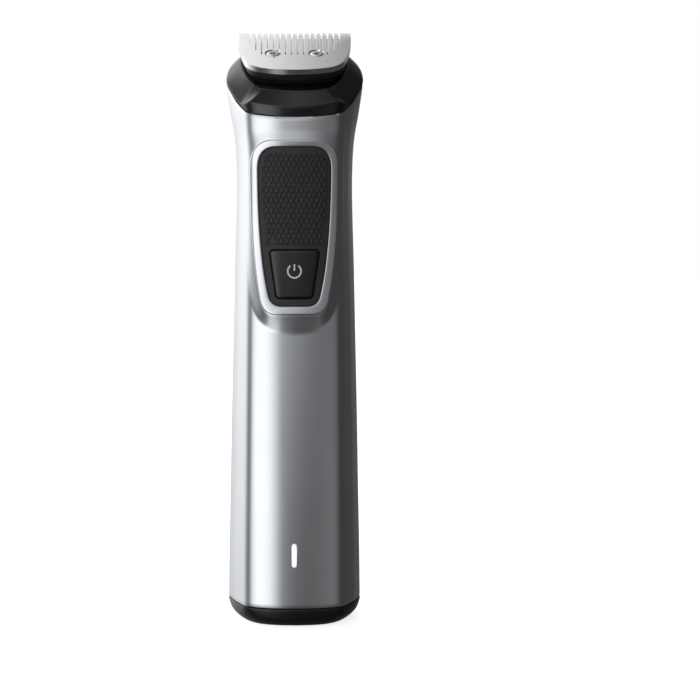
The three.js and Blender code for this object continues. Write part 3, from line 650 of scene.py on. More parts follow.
def make_collar(material):
    count = 150  # columns on the right half, both middles included
    table, deep = (body.columns(None, None, np.linspace(0, 1, count)) for body in (outer_body, inner_body))

    def band(share, lift=0.0, inset=0.0):
        """Body outline a share of the way from the collar line to the lip, lifted and drawn in."""
        z = np.full(count, 155.0)
        for _ in range(15):
            x, y = pick(table, z)[:, :2].T
            low = collar_line(y) + GAP / 2
            side = np.interp(x, LIP_FADE, (0, 1)) * np.interp(y, LIP_BACK, (1, 0))
            height = (lip_plane(y) - low) * (1 - side) + LIP_SIDE * side
            z = low + height * share + lift
        xy = pick(table, z)
        xy += (pick(deep, z) - xy) * (inset / WALL)
        return np.column_stack([xy, z])

    lip_ring = band(1)
    lip_along = arc_lengths(lip_ring)
    rising = lip_ring[:, 1] < -4
    lip_knots = np.interp(LIP_CORNERS, lip_ring[rising, 0], lip_along[rising])
    parts = [spline(part, 60) for part in (DECK_EDGE[:3], DECK_EDGE[2:4], DECK_EDGE[3:])]
    deck_curve = np.vstack([parts[0], parts[1][1:], parts[2][1:]])
    deck_along = arc_lengths(deck_curve)
    deck_knots = np.interp(DECK_CORNERS, deck_curve[:200, 0], deck_along[:200])
    deck_at = np.interp(lip_along, [0, *lip_knots, lip_along[-1]], [0, *deck_knots, deck_along[-1]])
    deck_uv = np.column_stack([np.interp(deck_at, deck_along, deck_curve[:, k]) for k in (0, 1)])

    def head_ring(uv, w):
        uv[0, 0] = uv[-1, 0] = 0
        return to_body(at_height(uv, w))

    def deck_ring(inset):
        normal = np.gradient(deck_uv, axis=0)
        normal = np.column_stack([normal[:, 1], -normal[:, 0]])
        normal /= np.maximum(np.linalg.norm(normal, axis=1), 1e-9)[:, None]
        return head_ring(deck_uv - normal * inset, DECK_TOP)

    opening = blade_outline(PLUG_INSET - GAP, BASE_BACK - PLUG_INSET + GAP)
    centre = np.array([0.0, 9.0])
    dense = resample(opening, 6000) - centre
    polar = np.arctan2(dense[:, 0], -dense[:, 1])
    order = np.argsort(polar)
    angles = np.arctan2(deck_uv[:, 0], -(deck_uv[:, 1] - centre[1]))
    radius = np.interp(angles, polar[order], np.hypot(dense[:, 0], dense[:, 1])[order])
    opening_uv = centre + np.column_stack([radius * np.sin(angles), -radius * np.cos(angles)])

    def opening_ring(margin, w):
        return head_ring(centre + (opening_uv - centre) * (1 + margin / np.maximum(radius, 1)[:, None]), w)

    top, flat = deck_ring(0.0), deck_ring(0.2)
    edge, foot_bevel, mouth_bevel = 0.28, 0.14, 0.12
    below = band(1, -edge)
    slope = top - lip_ring
    slope /= np.linalg.norm(slope, axis=1)[:, None]
    first, last = lip_ring + slope * edge, top - slope * 0.2
    rings = [band(0, 0.0, LIP_LEAN + foot_bevel), band(0, foot_bevel, LIP_LEAN)]
    rings += [band(share, 0.0, LIP_LEAN * (1 - share)) for share in (0.3, 0.6)]
    rings += [below * (1 - t) ** 2 + 2 * lip_ring * t * (1 - t) + first * t ** 2
              for t in (0, 0.25, 0.5, 0.75)]
    rings += [first + (last - first) * t for t in (0, 0.2, 0.4, 0.6, 0.8, 1)]
    rings += [last * 0.25 + top * 0.5 + flat * 0.25, flat]
    rings += [opening_ring(mouth_bevel, DECK_TOP), opening_ring(0.0, DECK_TOP - mouth_bevel),
              opening_ring(0.0, DECK_BOTTOM)]
    rings += [opening_ring(0.6, DECK_BOTTOM) * 0.5 + band(0, 0.6, WALL) * 0.5, band(0, 0.0, WALL)]
    collar = closed_loop("neck_collar_body", [mirrored(ring) for ring in rings])
    finish_piece(collar, material, "handle", "black_gloss", "neck_collar", angle=24)


# ---------------------------------------------------------------- grip

def face_points(outline, rise):
    """Outline points of x and z set on the front face, raised by rise for each point."""
    return upright(outline, outer_body.front_y(outline[:, 0], outline[:, 1]) - rise)


def make_bezel(material):
    section = [  # margin from the pad's outline, depth below the frame's highest line
        (2.4, 3.2), (2.4, 0.36), (2.36, 0.21), (2.27, 0.09), (2.13, 0.02), (1.97, 0.0), (1.6, 0.025),
        (1.0, 0.07), (0.4, 0.12), (0.16, 0.16), (0.04, 0.24), (-0.02, 0.4), (-0.02, 0.7), (-0.02, 3.2),
    ]
    rings = []
    for margin, depth in section:
        outline = pad_outline(margin)
        rings.append(face_points(outline, grip_rise(outline[:, 1]) - depth))
    bezel = closed_loop("grip_frame", rings)
    finish_piece(bezel, material, "handle", "silver_shell", "grip_bezel", angle=50)


def island(name, outline_at, rise, profile, depth, core):
    """A raised inlay: its rim follows a profile of inset and drop, its top fills in towards a core line."""
    rings = []
    for inset, drop in [(0.0, depth)] + profile:
        outline = outline_at(-inset)
        rings.append(face_points(outline, rise(outline[:, 1]) - drop))
    low, high = core
    middle = np.column_stack([np.zeros(len(outline)), np.clip(outline[:, 1], low, high)])
    for share in (0.85, 0.7, 0.55, 0.4, 0.25, 0.1):
        shrunk = middle + (outline - middle) * share
        rings.append(face_points(shrunk, rise(shrunk[:, 1])))
    return tube(name, rings)


PAD_FIT = -0.06  # the rubber is moulded tight against its frame
DIAMOND = dict(width=1.414, height=2.85, groove=0.17, foot=-0.25)
DIAMOND_LAYERS = ((0.05, 0.13), (0.12, 0.2), (0.22, 0.24))  # inset and height above the pad
FIELD = dict(inset=1.05, bottom=108.9, top=134.6)
SHORTEST_EDGE, SMALLEST_AREA = 0.06, 0.02  # smaller scraps of a cut diamond are left out


def clip_polygon(polygon, outline):
    """The part of a convex polygon inside a convex outline, both counter-clockwise."""
    out = [np.array(p, float) for p in polygon]
    for a, b in zip(outline, np.roll(outline, -1, axis=0)):
        edge = b - a
        kept = []
        for k, p in enumerate(out):
            q = out[(k + 1) % len(out)]
            side_p = edge[0] * (p - a)[1] - edge[1] * (p - a)[0]
            side_q = edge[0] * (q - a)[1] - edge[1] * (q - a)[0]
            if side_p >= 0:
                kept.append(p)
            if (side_p >= 0) != (side_q >= 0):
                kept.append(p + (q - p) * side_p / (side_p - side_q))
        out = kept
        if len(out) < 3:
            return None
    return np.array(out)


def inset_polygon(polygon, distance):
    """A convex counter-clockwise polygon moved in by a distance, or None if nothing is left."""
    p = polygon[np.linalg.norm(polygon - np.roll(polygon, 1, axis=0), axis=1) > SHORTEST_EDGE]
    if len(p) < 3:
        return None
    moved = offset_outline(p, distance, 0.2)
    centre = p.mean(axis=0)
    area = 0.5 * np.abs(np.cross(moved, np.roll(moved, -1, axis=0)).sum())
    turned = ((moved - centre) * (p - centre)).sum(axis=1)
    return moved if area >= SMALLEST_AREA and turned.min() > 0 else None


def pad_rise(z):
    return grip_rise(z) - PAD_DROP


def diamond_field():
    """Outline of the part of the pad that has diamonds."""
    bottom = FIELD["bottom"]
    field = pad_outline(-FIELD["inset"], 10)
    right = field[(field[:, 1] > bottom) & (field[:, 0] > 0)]
    half = right[0, 0]
    above = field[field[:, 1] > bottom]
    field = np.vstack([[[half, bottom]], above, [[-half, bottom]]])
    field[:, 1] = np.clip(field[:, 1], bottom, FIELD["top"])
    return resample(field, 40)


def raised_diamond(polygon):
    """Vertices and faces of one diamond of the grip, or None where too little of it is left."""
    foot = inset_polygon(polygon, DIAMOND["groove"] / 2)
    if foot is None:
        return None
    layers = [(foot, DIAMOND["foot"]), (foot, 0.0)]
    for inset, height in DIAMOND_LAYERS:
        layer = inset_polygon(foot, inset)
        if layer is None or len(layer) != len(foot):
            break
        layers.append((layer, height))
    if len(layers) < 3:
        return None
    return stack([face_points(outline, pad_rise(outline[:, 1]) + height) for outline, height in layers])


def make_pad(material):
    profile = [(0.0, 0.16), (0.05, 0.07), (0.16, 0.0), (0.6, 0.0), (1.4, 0.0)]
    pad = island("grip_pad_body", lambda g: pad_outline(g + PAD_FIT, 10), pad_rise, profile, 3.0, (102, 124))
    boolean(pad, prism_y("cut", button_outline(GAP), IN_FRONT, 0))
    field = diamond_field()
    w, h = DIAMOND["width"], DIAMOND["height"]
    solids = []
    for row in range(-20, 26):
        z = 120 + row * h / 2
        for column in range(-9, 10):
            x = (column + (row % 2) / 2) * w
            if abs(x) > 12 or not FIELD["bottom"] - h < z < FIELD["top"] + h:
                continue
            corners = [[x + w / 2, z], [x, z + h / 2], [x - w / 2, z], [x, z - h / 2]]
            clipped = clip_polygon(corners, field)
            solid = raised_diamond(clipped) if clipped is not None else None
            if solid is not None:
                solids.append(solid)
    diamonds = make_object("grip_pad_diamonds", *joined(solids))
    finish_piece(pad, material, "handle", "grip_rubber", "grip_pad", angle=50)
    finish_piece(diamonds, material, "handle", "grip_rubber", angle=28)


SYMBOL = dict(z=101.8, radii=(2.07, 1.63), gap=math.radians(36), half=0.21, bar=(101.9, 103.75),
              lift=(-0.02, 0.025))


def make_button(material, white):
    def button_rise(z):
        return grip_rise(z) - BUTTON_DROP

    profile = [(0.0, 0.42), (0.03, 0.27), (0.1, 0.15), (0.22, 0.06), (0.4, 0.015), (0.62, 0.0)]
    button = island("power_button_cap", button_outline, button_rise, profile, 1.4, (99, 103))
    stem = prism_y("stem", circle(STEM["radius"], 0, STEM["z"], 32), STEM["front"], STEM["back"])
    boolean(button, stem, operation="UNION")
    finish_piece(button, material, "button", "black_gloss", "power_button", angle=40)

    def section(a, b):
        """Section of the print between two points of x and z, from just under the cap to just over it."""
        corners = np.array([a, b, b, a])
        return face_points(corners, button_rise(corners[:, 1]) + np.repeat(SYMBOL["lift"], 2))

    turns = math.pi / 2 + np.linspace(SYMBOL["gap"], 2 * math.pi - SYMBOL["gap"], 57)
    rays = np.column_stack([np.cos(turns), np.sin(turns)])
    outer, inner = (rays * radius + [0, SYMBOL["z"]] for radius in SYMBOL["radii"])
    arc = stack([section(a, b) for a, b in zip(outer, inner)])
    bar = stack([section((-SYMBOL["half"], z), (SYMBOL["half"], z)) for z in SYMBOL["bar"]])
    symbol = make_object("power_symbol", *joined([arc, bar]))
    finish_piece(symbol, white, "button", "lens_white")


def make_lens(material):
    spec = (LENS["half"], LENS["bottom"], LENS["top"])
    rings = [upright(slot_outline(*spec), LENS["back"])]
    for inset, drop in ((0, 0.12), (0.05, 0.04), (0.13, 0.0), (0.3, -0.03), (0.5, -0.05)):
        outline = slot_outline(*spec, -inset)
        rings.append(face_points(outline, np.full(len(outline), -drop)))
    lens = tube("indicator_light", rings)
    finish_piece(lens, material, "handle", "lens_white", "indicator_lens", angle=60)


# ---------------------------------------------------------------- cutting head

def layered(name, outline, layers):
    """A plate in the head frame from one outline: each layer is an inset and a height w."""
    return tube(name, [to_body(at_height(offset_outline(outline, inset), w)) for inset, w in layers])


def guard_outline():
    tip = BLADE_LENGTH + TIP_LENGTH
    half = blade_half(0.0, tip)
    slits = [((k + 0.5) * SLIT_PITCH, start) for k, start in enumerate(SLIT_STARTS)]
    slits = slits[::-1] + [(-u, start) for u, start in slits]
    narrow, wide = SLIT_WIDTH / 2, (SLIT_PITCH - TOOTH_TIP) / 2
    back = []
    for u, start in slits:
        back += [(u + wide, tip), (u + narrow + 0.03, BLADE_LENGTH), (u + narrow, start + 0.25),
                 (u + narrow * 0.7, start + 0.07), (u, start), (u - narrow * 0.7, start + 0.07),
                 (u - narrow, start + 0.25), (u - narrow - 0.03, BLADE_LENGTH), (u - wide, tip)]
    left = half[1:][::-1] * [-1, 1]
    return np.vstack([half, np.array(back), left])


GUARD_EDGE = 0.07
SINK_PROFILE = [(1.35, -3), (1.35, -1.62), (2.12, -0.32), (2.3, 0.0), (2.5, 1.0)]  # radius and height w
SCREW_PROFILE = [
    (0.0, -GUARD_SCREW["length"]), (0.8, -GUARD_SCREW["length"]), (1.0, -4.4), (1.0, -1.35), (1.2, -1.3),
    (1.86, -0.4), (1.93, -0.28), (1.9, -0.2), (1.8, -0.15), (1.2, -0.1), (0.0, -0.08),
]
RECESS = dict(half_length=0.92, half_width=0.2, bottom=-0.75)  # one bar of the screw's star


def make_guard(steel, screw_steel):
    edge = GUARD_EDGE
    plate = layered("guard_plate_body", guard_outline(), [
        (edge, -BLADE_THICKNESS), (0, -BLADE_THICKNESS + edge), (0, -edge), (edge * 0.3, -edge * 0.3),
        (edge, 0),
    ])
    slope = math.atan2(TIP_DROP, TIP_LENGTH)
    c, s = math.cos(slope), math.sin(slope)
    corners = [(0, 0), (6, 0), (6, 6), (0, 6)]
    wedge = [to_body([(u, BLADE_LENGTH + a * c + b * s, -a * s + b * c) for a, b in corners])
             for u in (-30, 30)]
    boolean(plate, tube("cut", wedge))
    for side, word in SIDES:
        centre = (side * GUARD_SCREW["u"], GUARD_SCREW["v"])
        boolean(plate, lathe_w("cut", SINK_PROFILE, centre))
        screw = lathe_w(f"guard_screw_{word}_body", SCREW_PROFILE, centre)
        for turn in (0, 60, 120):
            a = math.radians(turn + 14 * side)
            along = np.array([math.cos(a), math.sin(a)]) * RECESS["half_length"]
            across = np.array([-math.sin(a), math.cos(a)]) * RECESS["half_width"]
            bar = [centre + along * i + across * j for i, j in ((1, 1), (-1, 1), (-1, -1), (1, -1))]
            boolean(screw, prism_w("cut", np.array(bar), RECESS["bottom"], 1))
        finish_piece(screw, screw_steel, "head", "screw_steel", f"guard_screw_{word}")
    finish_piece(plate, steel, "head", "blade_steel", "guard_plate", angle=18)


BASE_PROFILE = [  # inset from the blade's outline, height w
    (0.75, BASE_TOP), (0.62, BASE_TOP - 0.12), (BASE_INSET, -2.6), (0.68, -3.4), (0.85, -4.0), (1.05, -4.3),
    (PLUG_INSET, -4.5), (PLUG_INSET, -6.7), (1.4, BASE_BOTTOM),
]


def make_head_base(material):
    layers = [(blade_outline(inset, BASE_BACK - (inset - BASE_INSET)), w) for inset, w in BASE_PROFILE]
    count = min(len(outline) for outline, _ in layers)
    rings = [to_body(at_height(resample(outline, count), w)) for outline, w in layers]
    base = tube("head_base_body", rings[::-1])
    boolean(base, prism_w("cut", blade_outline(CAVITY_INSET, BASE_BACK - CAVITY_INSET), BASE_FLOOR, 1))
    cutters = []
    for side in (-1, 1):
        u, v = side * GUARD_SCREW["u"], GUARD_SCREW["v"]
        boss = prism_w("boss", circle(BOSS_RADIUS, u, v), BASE_FLOOR - 0.5, BASE_TOP)
        boolean(base, boss, operation="UNION")
        bore = circle(GUARD_SCREW["shank"] + GAP, u, v, 24)
        cutters.append(prism_w("cut", bore, -GUARD_SCREW["length"] - GAP, 1))
    half, yoke = CUTTER["half"] + 1.4, YOKE_SLOT["half"] + 0.5
    cutter_path = box_outline(-half, half, CUTTER["front"] - 1.3, 30)
    window = box_outline(-yoke, yoke, YOKE_SLOT["front"] - 1.6, YOKE_SLOT["back"])
    notch = box_outline(-3, 3, -1, BASE_INSET + 0.35)
    cutters += [
        prism_w("cut", cutter_path, CUTTER["bottom"] - GAP, 1),
        prism_w("cut", window, -8, BASE_FLOOR + 1),
        prism_w("cut", notch, BASE_SHELF + 0.75, BASE_TOP - 0.35),
    ]
    boolean(base, *cutters)
    finish_piece(base, material, "head", "black_satin", "head_base", angle=40)


# ---------------------------------------------------------------- materials

class Nodes:
    """A small helper that adds nodes to a node tree and joins them."""

    def __init__(self, owner):
        owner.use_nodes = True
        self.tree = owner.node_tree
        self.tree.nodes.clear()

    def add(self, kind, **settings):
        node = self.tree.nodes.new(kind)
        for key, value in settings.items():
            setattr(node, key, value)
        return node

    def link(self, a, b):
        self.tree.links.new(a, b)

    def fill(self, sockets, values):
        """Sets each socket to its number, or joins it to its output."""
        for socket, value in zip(sockets, values):
            if isinstance(value, bpy.types.NodeSocket):
                self.link(value, socket)
            else:
                socket.default_value = value

    def math(self, operation, a, b):
        node = self.add("ShaderNodeMath", operation=operation)
        self.fill(node.inputs, (a, b))
        return node.outputs[0]

    def axes(self, vector):
        node = self.add("ShaderNodeSeparateXYZ")
        self.link(vector, node.inputs[0])
        return node.outputs

    def span(self, value, low, high, start=0.0, end=1.0):
        """A value between start and end, spread from low to high."""
        node = self.add("ShaderNodeMapRange")
        self.fill(node.inputs[:5], (value, start, end, low, high))
        return node.outputs[0]

    def colours(self, value, *stops):
        node = self.add("ShaderNodeValToRGB")
        elements = node.color_ramp.elements
        while len(elements) < len(stops):
            elements.new(0.5)
        for element, (position, colour) in zip(elements, stops):
            element.position = position
            element.color = (*colour, 1)
        self.link(value, node.inputs[0])
        return node.outputs[0]


class Finish(Nodes):
    """The nodes of one material, around a Principled shader."""

    def __init__(self, name):
        self.material = bpy.data.materials.new(name)
        super().__init__(self.material)
        self.shader = self.add("ShaderNodeBsdfPrincipled")
        self.link(self.shader.outputs[0], self.add("ShaderNodeOutputMaterial").inputs["Surface"])
        self.object_coords = self.add("ShaderNodeTexCoord").outputs["Object"]

    def mapped(self, scale, turn=(0, 0, 0)):
        """Object coordinates in cycles per millimetre along each axis, after a turn."""
        node = self.add("ShaderNodeMapping", vector_type="TEXTURE")
        node.inputs["Rotation"].default_value = turn
        node.inputs["Scale"].default_value = tuple(MM / s for s in scale)
        self.link(self.object_coords, node.inputs["Vector"])
        return node.outputs[0]

    def noise(self, scale, detail=2.0, roughness=0.5, turn=(0, 0, 0)):
        if not hasattr(scale, "__len__"):
            scale = (scale,) * 3
        node = self.add("ShaderNodeTexNoise")
        sockets = [node.inputs[key] for key in ("Vector", "Scale", "Detail", "Roughness")]
        self.fill(sockets, (self.mapped(scale, turn), 1.0, detail, roughness))
        return node.outputs["Fac"]

    def cells(self, scale):
        node = self.add("ShaderNodeTexVoronoi")
        self.fill([node.inputs["Vector"], node.inputs["Scale"]], (self.mapped((scale,) * 3), 1.0))
        return node.outputs["Distance"]

    def bump(self, height, distance, below=None):
        """Bump of a height field whose full swing is distance millimetres."""
        node = self.add("ShaderNodeBump")
        sockets = [node.inputs[key] for key in ("Height", "Strength", "Distance")]
        self.fill(sockets, (height, 1.0, distance * MM))
        if below is not None:
            self.link(below, node.inputs["Normal"])
        return node.outputs[0]

    def set(self, **values):
        self.fill([self.shader.inputs[key.replace("_", " ")] for key in values], values.values())
        return self.material


def silver_paint():
    n = Finish("silver_paint")
    flake = n.cells(9.0)
    cloud = n.noise(0.05, 2)
    colour = n.colours(n.math("ADD", n.span(flake, 0, 0.5), n.span(cloud, 0, 0.5)),
                       (0.2, (0.565, 0.58, 0.6)), (0.8, (0.63, 0.645, 0.665)))
    smear = n.noise((0.15, 0.15, 0.04), 3, 0.6)
    rough = n.math("ADD", n.span(smear, 0.14, 0.18, 0.3, 0.7), n.span(flake, -0.01, 0.01))
    peel = n.bump(n.noise(1.3, 2), 0.0006)
    return n.set(Base_Color=colour, Metallic=0.94, Roughness=rough, Normal=n.bump(flake, 0.0003, below=peel))


def piano_black():
    n = Finish("piano_black")
    haze = n.noise(0.08, 3, 0.6)
    hairs = n.noise((0.5, 6.0, 0.5), 2, 0.6, (0.3, 0.5, 0.4))
    colour = n.colours(haze, (0.3, (0.0012, 0.0012, 0.0014)), (0.75, (0.0024, 0.0023, 0.0025)))
    rough = n.math("ADD", n.span(haze, 0.025, 0.055, 0.3, 0.7), n.span(hairs, 0.0, 0.02, 0.5, 0.9))
    return n.set(Base_Color=colour, Roughness=rough, Normal=n.bump(n.noise(0.5, 1), 0.0006), IOR=1.5,
                 Specular_IOR_Level=0.62)


def satin_black():
    n = Finish("satin_black")
    grain = n.noise(5.0, 3, 0.6)
    cloud = n.noise(0.1, 2)
    colour = n.colours(cloud, (0.3, (0.0075, 0.0075, 0.008)), (0.7, (0.0115, 0.0115, 0.012)))
    return n.set(Base_Color=colour, Roughness=n.span(grain, 0.24, 0.34, 0.3, 0.7),
                 Normal=n.bump(grain, 0.004))


def grip_rubber():
    n = Finish("grip_rubber")
    grain = n.cells(5.5)
    cloud = n.noise(0.16, 3)
    fine = n.noise(9.0, 3, 0.65)
    colour = n.colours(n.math("ADD", n.span(cloud, 0, 0.6), n.span(fine, 0, 0.4)),
                       (0.3, (0.031, 0.0262, 0.0266)), (0.7, (0.044, 0.0372, 0.0378)))
    normal = n.bump(fine, 0.003, below=n.bump(grain, 0.004))
    return n.set(Base_Color=colour, Roughness=n.span(fine, 0.5, 0.66, 0.3, 0.7), Normal=normal,
                 Sheen_Weight=0.06, Sheen_Roughness=0.5)


def brushed(name, low, high, rough, grain, turn, depth, polished=None, crown=None):
    """Ground metal with its grain along one axis.

    polished is an axis and the roughness of the faces that look away from it, crown half a width and a rise.
    """
    n = Finish(name)
    lines = n.noise(grain, 3, 0.7, turn)
    cloud = n.noise(0.12, 2)
    colour = n.colours(n.math("ADD", n.span(lines, 0, 0.7), n.span(cloud, 0, 0.3)), (0.3, low), (0.7, high))
    roughness = n.span(lines, rough - 0.05, rough + 0.06, 0.25, 0.75)
    if polished:
        axis, polish = polished
        facing = n.add("ShaderNodeVectorMath", operation="DOT_PRODUCT")
        n.link(n.add("ShaderNodeTexCoord").outputs["Normal"], facing.inputs[0])
        facing.inputs[1].default_value = axis
        share = n.span(n.math("ABSOLUTE", facing.outputs["Value"], 0.0), polish / rough, 1.0, 0.5, 0.8)
        roughness = n.math("MULTIPLY", roughness, share)
    normal = n.bump(lines, depth)
    if crown:
        half, rise = crown
        share = n.math("MULTIPLY", n.axes(n.object_coords)[0], 1 / (half * MM))
        normal = n.bump(n.math("MULTIPLY", n.math("MULTIPLY", share, share), -1.0), rise, below=normal)
    return n.set(Base_Color=colour, Metallic=1.0, Roughness=roughness, Normal=normal)


def moulded(name, low, high, rough, scale=1.5, depth=0.004, **more):
    """Moulded plastic or rubber with a fine grain and faint clouding."""
    n = Finish(name)
    grain = n.noise(scale * 3, 3, 0.6)
    cloud = n.noise(scale * 0.15, 3)
    colour = n.colours(n.math("ADD", n.span(cloud, 0, 0.7), n.span(grain, 0, 0.3)), (0.3, low), (0.7, high))
    return n.set(Base_Color=colour, Roughness=n.span(grain, rough - 0.06, rough + 0.06, 0.3, 0.7),
                 Normal=n.bump(grain, depth), **more)


def lit_lens():
    """Light pipe: brightest along its middle, fading towards its rim."""
    n = Finish("lit_lens")
    haze = n.noise(1.2, 2)
    x, _, z = n.axes(n.object_coords)
    middle, half_height = (LENS["top"] + LENS["bottom"]) / 2 * MM, (LENS["top"] - LENS["bottom"]) / 2 * MM
    across = n.math("DIVIDE", x, LENS["half"] * MM)
    along = n.math("DIVIDE", n.math("SUBTRACT", z, middle), half_height)
    reach = n.math("ADD", n.math("MULTIPLY", across, across),
                   n.math("POWER", n.math("ABSOLUTE", along, 0.0), 4.0))
    colour = n.colours(haze, (0.3, (0.88, 0.93, 1.0)), (0.7, (0.97, 0.985, 1.0)))
    return n.set(Base_Color=colour, Roughness=n.span(haze, 0.15, 0.25), Emission_Color=colour,
                 Emission_Strength=n.span(reach, 0.95, 0.3, 0.3, 1.2), Normal=n.bump(haze, 0.002))


def print_with_painted_glow():
    n = Finish("print_with_painted_glow")
    speckle = n.noise(7.0, 3, 0.6)
    colour = n.colours(speckle, (0.3, (0.62, 0.62, 0.63)), (0.7, (0.78, 0.78, 0.79)))
    # white print colour, plus a faint emission that is a painted glow: the print looks brighter than it would
    # under the lamps alone
    return n.set(Base_Color=colour, Roughness=n.span(speckle, 0.35, 0.5), Emission_Color=colour,
                 Emission_Strength=0.12, Normal=n.bump(speckle, 0.003))


UPRIGHT = (0, 0, 0)
BLADE_TURN = (HEAD_TILT, 0, 0)
BLADE_FACE = (0, -math.sin(HEAD_TILT), math.cos(HEAD_TILT))
SILVER = silver_paint()
GLOSS = piano_black()
SATIN = satin_black()
GRIP = grip_rubber()
BLADE = brushed("ground_steel", (0.70, 0.70, 0.70), (0.78, 0.78, 0.78), 0.22, (5.0, 0.28, 5.0), BLADE_TURN,
                0.0012, polished=(BLADE_FACE, 0.05), crown=(16, 0.75))
STEEL = brushed("bright_steel", (0.55, 0.56, 0.57), (0.68, 0.685, 0.69), 0.2, (3.0, 3.0, 3.0), UPRIGHT, 0.002)
CAN = brushed("zinc_steel", (0.36, 0.37, 0.38), (0.5, 0.505, 0.51), 0.33, (1.2, 1.2, 0.1), UPRIGHT, 0.004)
BRASS = brushed("contact_brass", (0.62, 0.46, 0.19), (0.78, 0.6, 0.28), 0.2, (2.0, 2.0, 0.5), UPRIGHT, 0.002)
RUBBER = moulded("seal_rubber", (0.011, 0.011, 0.011), (0.02, 0.0195, 0.019), 0.62, 2.0, 0.008)
NYLON = moulded("white_nylon", (0.60, 0.58, 0.53), (0.72, 0.70, 0.65), 0.42, 1.2, 0.004,
                Subsurface_Weight=0.1, Subsurface_Radius=(0.001, 0.0009, 0.0007))
BOARD = moulded("green_board", (0.008, 0.075, 0.026), (0.018, 0.13, 0.05), 0.3, 1.0, 0.01, Coat_Weight=0.4)
CELL = moulded("blue_wrap", (0.03, 0.085, 0.24), (0.05, 0.12, 0.32), 0.28, 0.8, 0.004, Coat_Weight=0.3)
HEAD_BLACK = moulded("head_black", (0.017, 0.017, 0.0175), (0.024, 0.024, 0.0245), 0.36, 1.5, 0.003)
LIT = lit_lens()
PRINT_PAINTED_GLOW = print_with_painted_glow()

SLOT_MATERIALS = {
    "silver_shell": SILVER, "black_gloss": GLOSS, "black_satin": SATIN, "grip_rubber": GRIP,
    "blade_steel": BLADE, "screw_steel": STEEL, "motor_steel": CAN, "contact_brass": BRASS,
    "seal_rubber": RUBBER, "white_nylon": NYLON, "lens_white": LIT, "board_green": BOARD, "cell_wrap": CELL,
}
for row in frame["record"]["subparts"]:
    cad = frame["nodes"].get(row["node"])
    if cad is not None:
        cad.data.materials.clear()
        cad.data.materials.append(SLOT_MATERIALS[row["material_slot"]])
        shade(cad, 30)

make_shells(SILVER)
make_seam_tongues(SILVER)
make_base_cap(SATIN)
make_collar(GLOSS)
make_bezel(SILVER)
make_pad(GRIP)
make_button(GLOSS, PRINT_PAINTED_GLOW)
make_lens(LIT)
make_guard(BLADE, STEEL)
make_head_base(HEAD_BLACK)


# ---------------------------------------------------------------- stage, light and camera

FLOOR_RADIUS = 1600
FLOOR_HEIGHT = -0.02


def make_floor():
    n = Finish("pale_floor")
    cloud = n.noise(0.01, 2)
    colour = n.colours(cloud, (0.3, (0.86, 0.86, 0.86)), (0.7, (0.88, 0.88, 0.88)))
    n.set(Base_Color=colour, Roughness=0.8, Emission_Color=(1, 1, 1, 1), Emission_Strength=0.8)
    rim = at_height(circle(FLOOR_RADIUS, 0, 0, 96), FLOOR_HEIGHT)
    floor = make_object("floor", rim, [range(len(rim))])
    floor.data.materials.append(n.material)
    floor.visible_glossy = False
    floor.visible_diffuse = False


# Softboxes of the studio: azimuth from the camera's side (plus is right), elevation, half width, half height
# and level. Each one fades smoothly to its edges.
SOFTBOXES = dict(
    key_left=(-31, -4, 12, 28, 2.4),
    side_left=(-125, 14, 48, 34, 2.0),
    front=(-4, 22, 24, 26, 0.75),
    strip_right=(34, -8, 12, 18, 0.2),
    overhead=(10, 66, 75, 22, 0.5),
    rear_top=(-150, 58, 28, 22, 1.35),
    rear_high=(180, 40, 20, 16, 0.5),
)
STUDIO_FILL = 0.06
AZIMUTHS = range(-180, 181, 12)
ELEVATIONS = (-80, -38, -12, 12, 36, 62)
STUDIO_TOP = 4.0
STUDIO_TINT = (0.99, 0.997, 1.01)


def studio_level(azimuth, elevation):
    total = STUDIO_FILL
    for middle, height, half_width, half_height, level in SOFTBOXES.values():
        aside = (azimuth - middle + 180) % 360 - 180
        total += level * math.exp(-(aside / half_width) ** 2 - ((elevation - height) / half_height) ** 2)
    return total


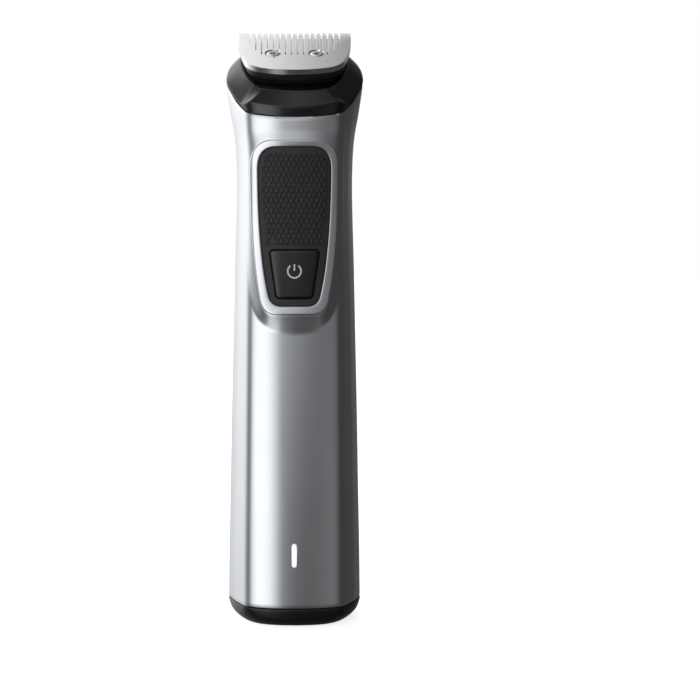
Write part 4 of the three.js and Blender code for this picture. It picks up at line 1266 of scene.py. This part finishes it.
def make_world():
    """Light from the softboxes: a colour ramp all round at each elevation, mixed between elevations."""
    world = bpy.data.worlds.new("studio")
    bpy.context.scene.world = world
    n = Nodes(world)

    def band(height):
        levels = [studio_level(azimuth, height) / STUDIO_TOP for azimuth in AZIMUTHS]
        return n.colours(place, *[(azimuth / 360 + 0.5, (v, v, v)) for azimuth, v in zip(AZIMUTHS, levels)])

    x, y, z = n.axes(n.add("ShaderNodeTexCoord").outputs["Generated"])
    around = n.math("ARCTAN2", x, n.math("MULTIPLY", y, -1.0))
    place = n.math("ADD", n.math("DIVIDE", around, 2 * math.pi), 0.5)
    elevation = n.math("ARCSINE", z, 0.0)
    level = band(ELEVATIONS[0])
    for low, high in zip(ELEVATIONS, ELEVATIONS[1:]):
        share = n.span(elevation, 0.0, 1.0, math.radians(low), math.radians(high))
        mix = n.add("ShaderNodeMix", data_type="FLOAT")
        n.fill([mix.inputs[k] for k in (0, 2, 3)], (share, level, band(high)))
        level = mix.outputs[0]
    tint = n.add("ShaderNodeCombineColor")
    n.fill(tint.inputs, [n.math("MULTIPLY", level, share * STUDIO_TOP) for share in STUDIO_TINT])
    lit, seen = n.add("ShaderNodeBackground"), n.add("ShaderNodeBackground")
    n.link(tint.outputs[0], lit.inputs["Color"])
    seen.inputs["Color"].default_value = (1, 1, 1, 1)
    mix = n.add("ShaderNodeMixShader")
    from_camera = n.add("ShaderNodeLightPath").outputs["Is Camera Ray"]
    n.fill(mix.inputs, (from_camera, lit.outputs[0], seen.outputs[0]))
    n.link(mix.outputs[0], n.add("ShaderNodeOutputWorld").inputs["Surface"])


CAMERA = dict(place=(0.002, -0.4973, 0.1303), tilt=84, roll=0.05, sensor=36.0, lens=88.9, shift=0.0693)


def make_camera():
    data = bpy.data.cameras.new("camera")
    data.sensor_width = CAMERA["sensor"]
    data.lens = CAMERA["lens"]
    data.shift_x = CAMERA["shift"]
    data.clip_start = 0.02
    camera = bpy.data.objects.new("camera", data)
    camera.matrix_world = (Matrix.Translation(Vector(CAMERA["place"]))
                           @ Matrix.Rotation(math.radians(CAMERA["tilt"]), 4, "X")
                           @ Matrix.Rotation(math.radians(CAMERA["roll"]), 4, "Z"))
    bpy.context.scene.collection.objects.link(camera)
    bpy.context.scene.camera = camera


make_floor()
make_world()
make_camera()
bpy.context.scene.view_settings.view_transform = "Standard"
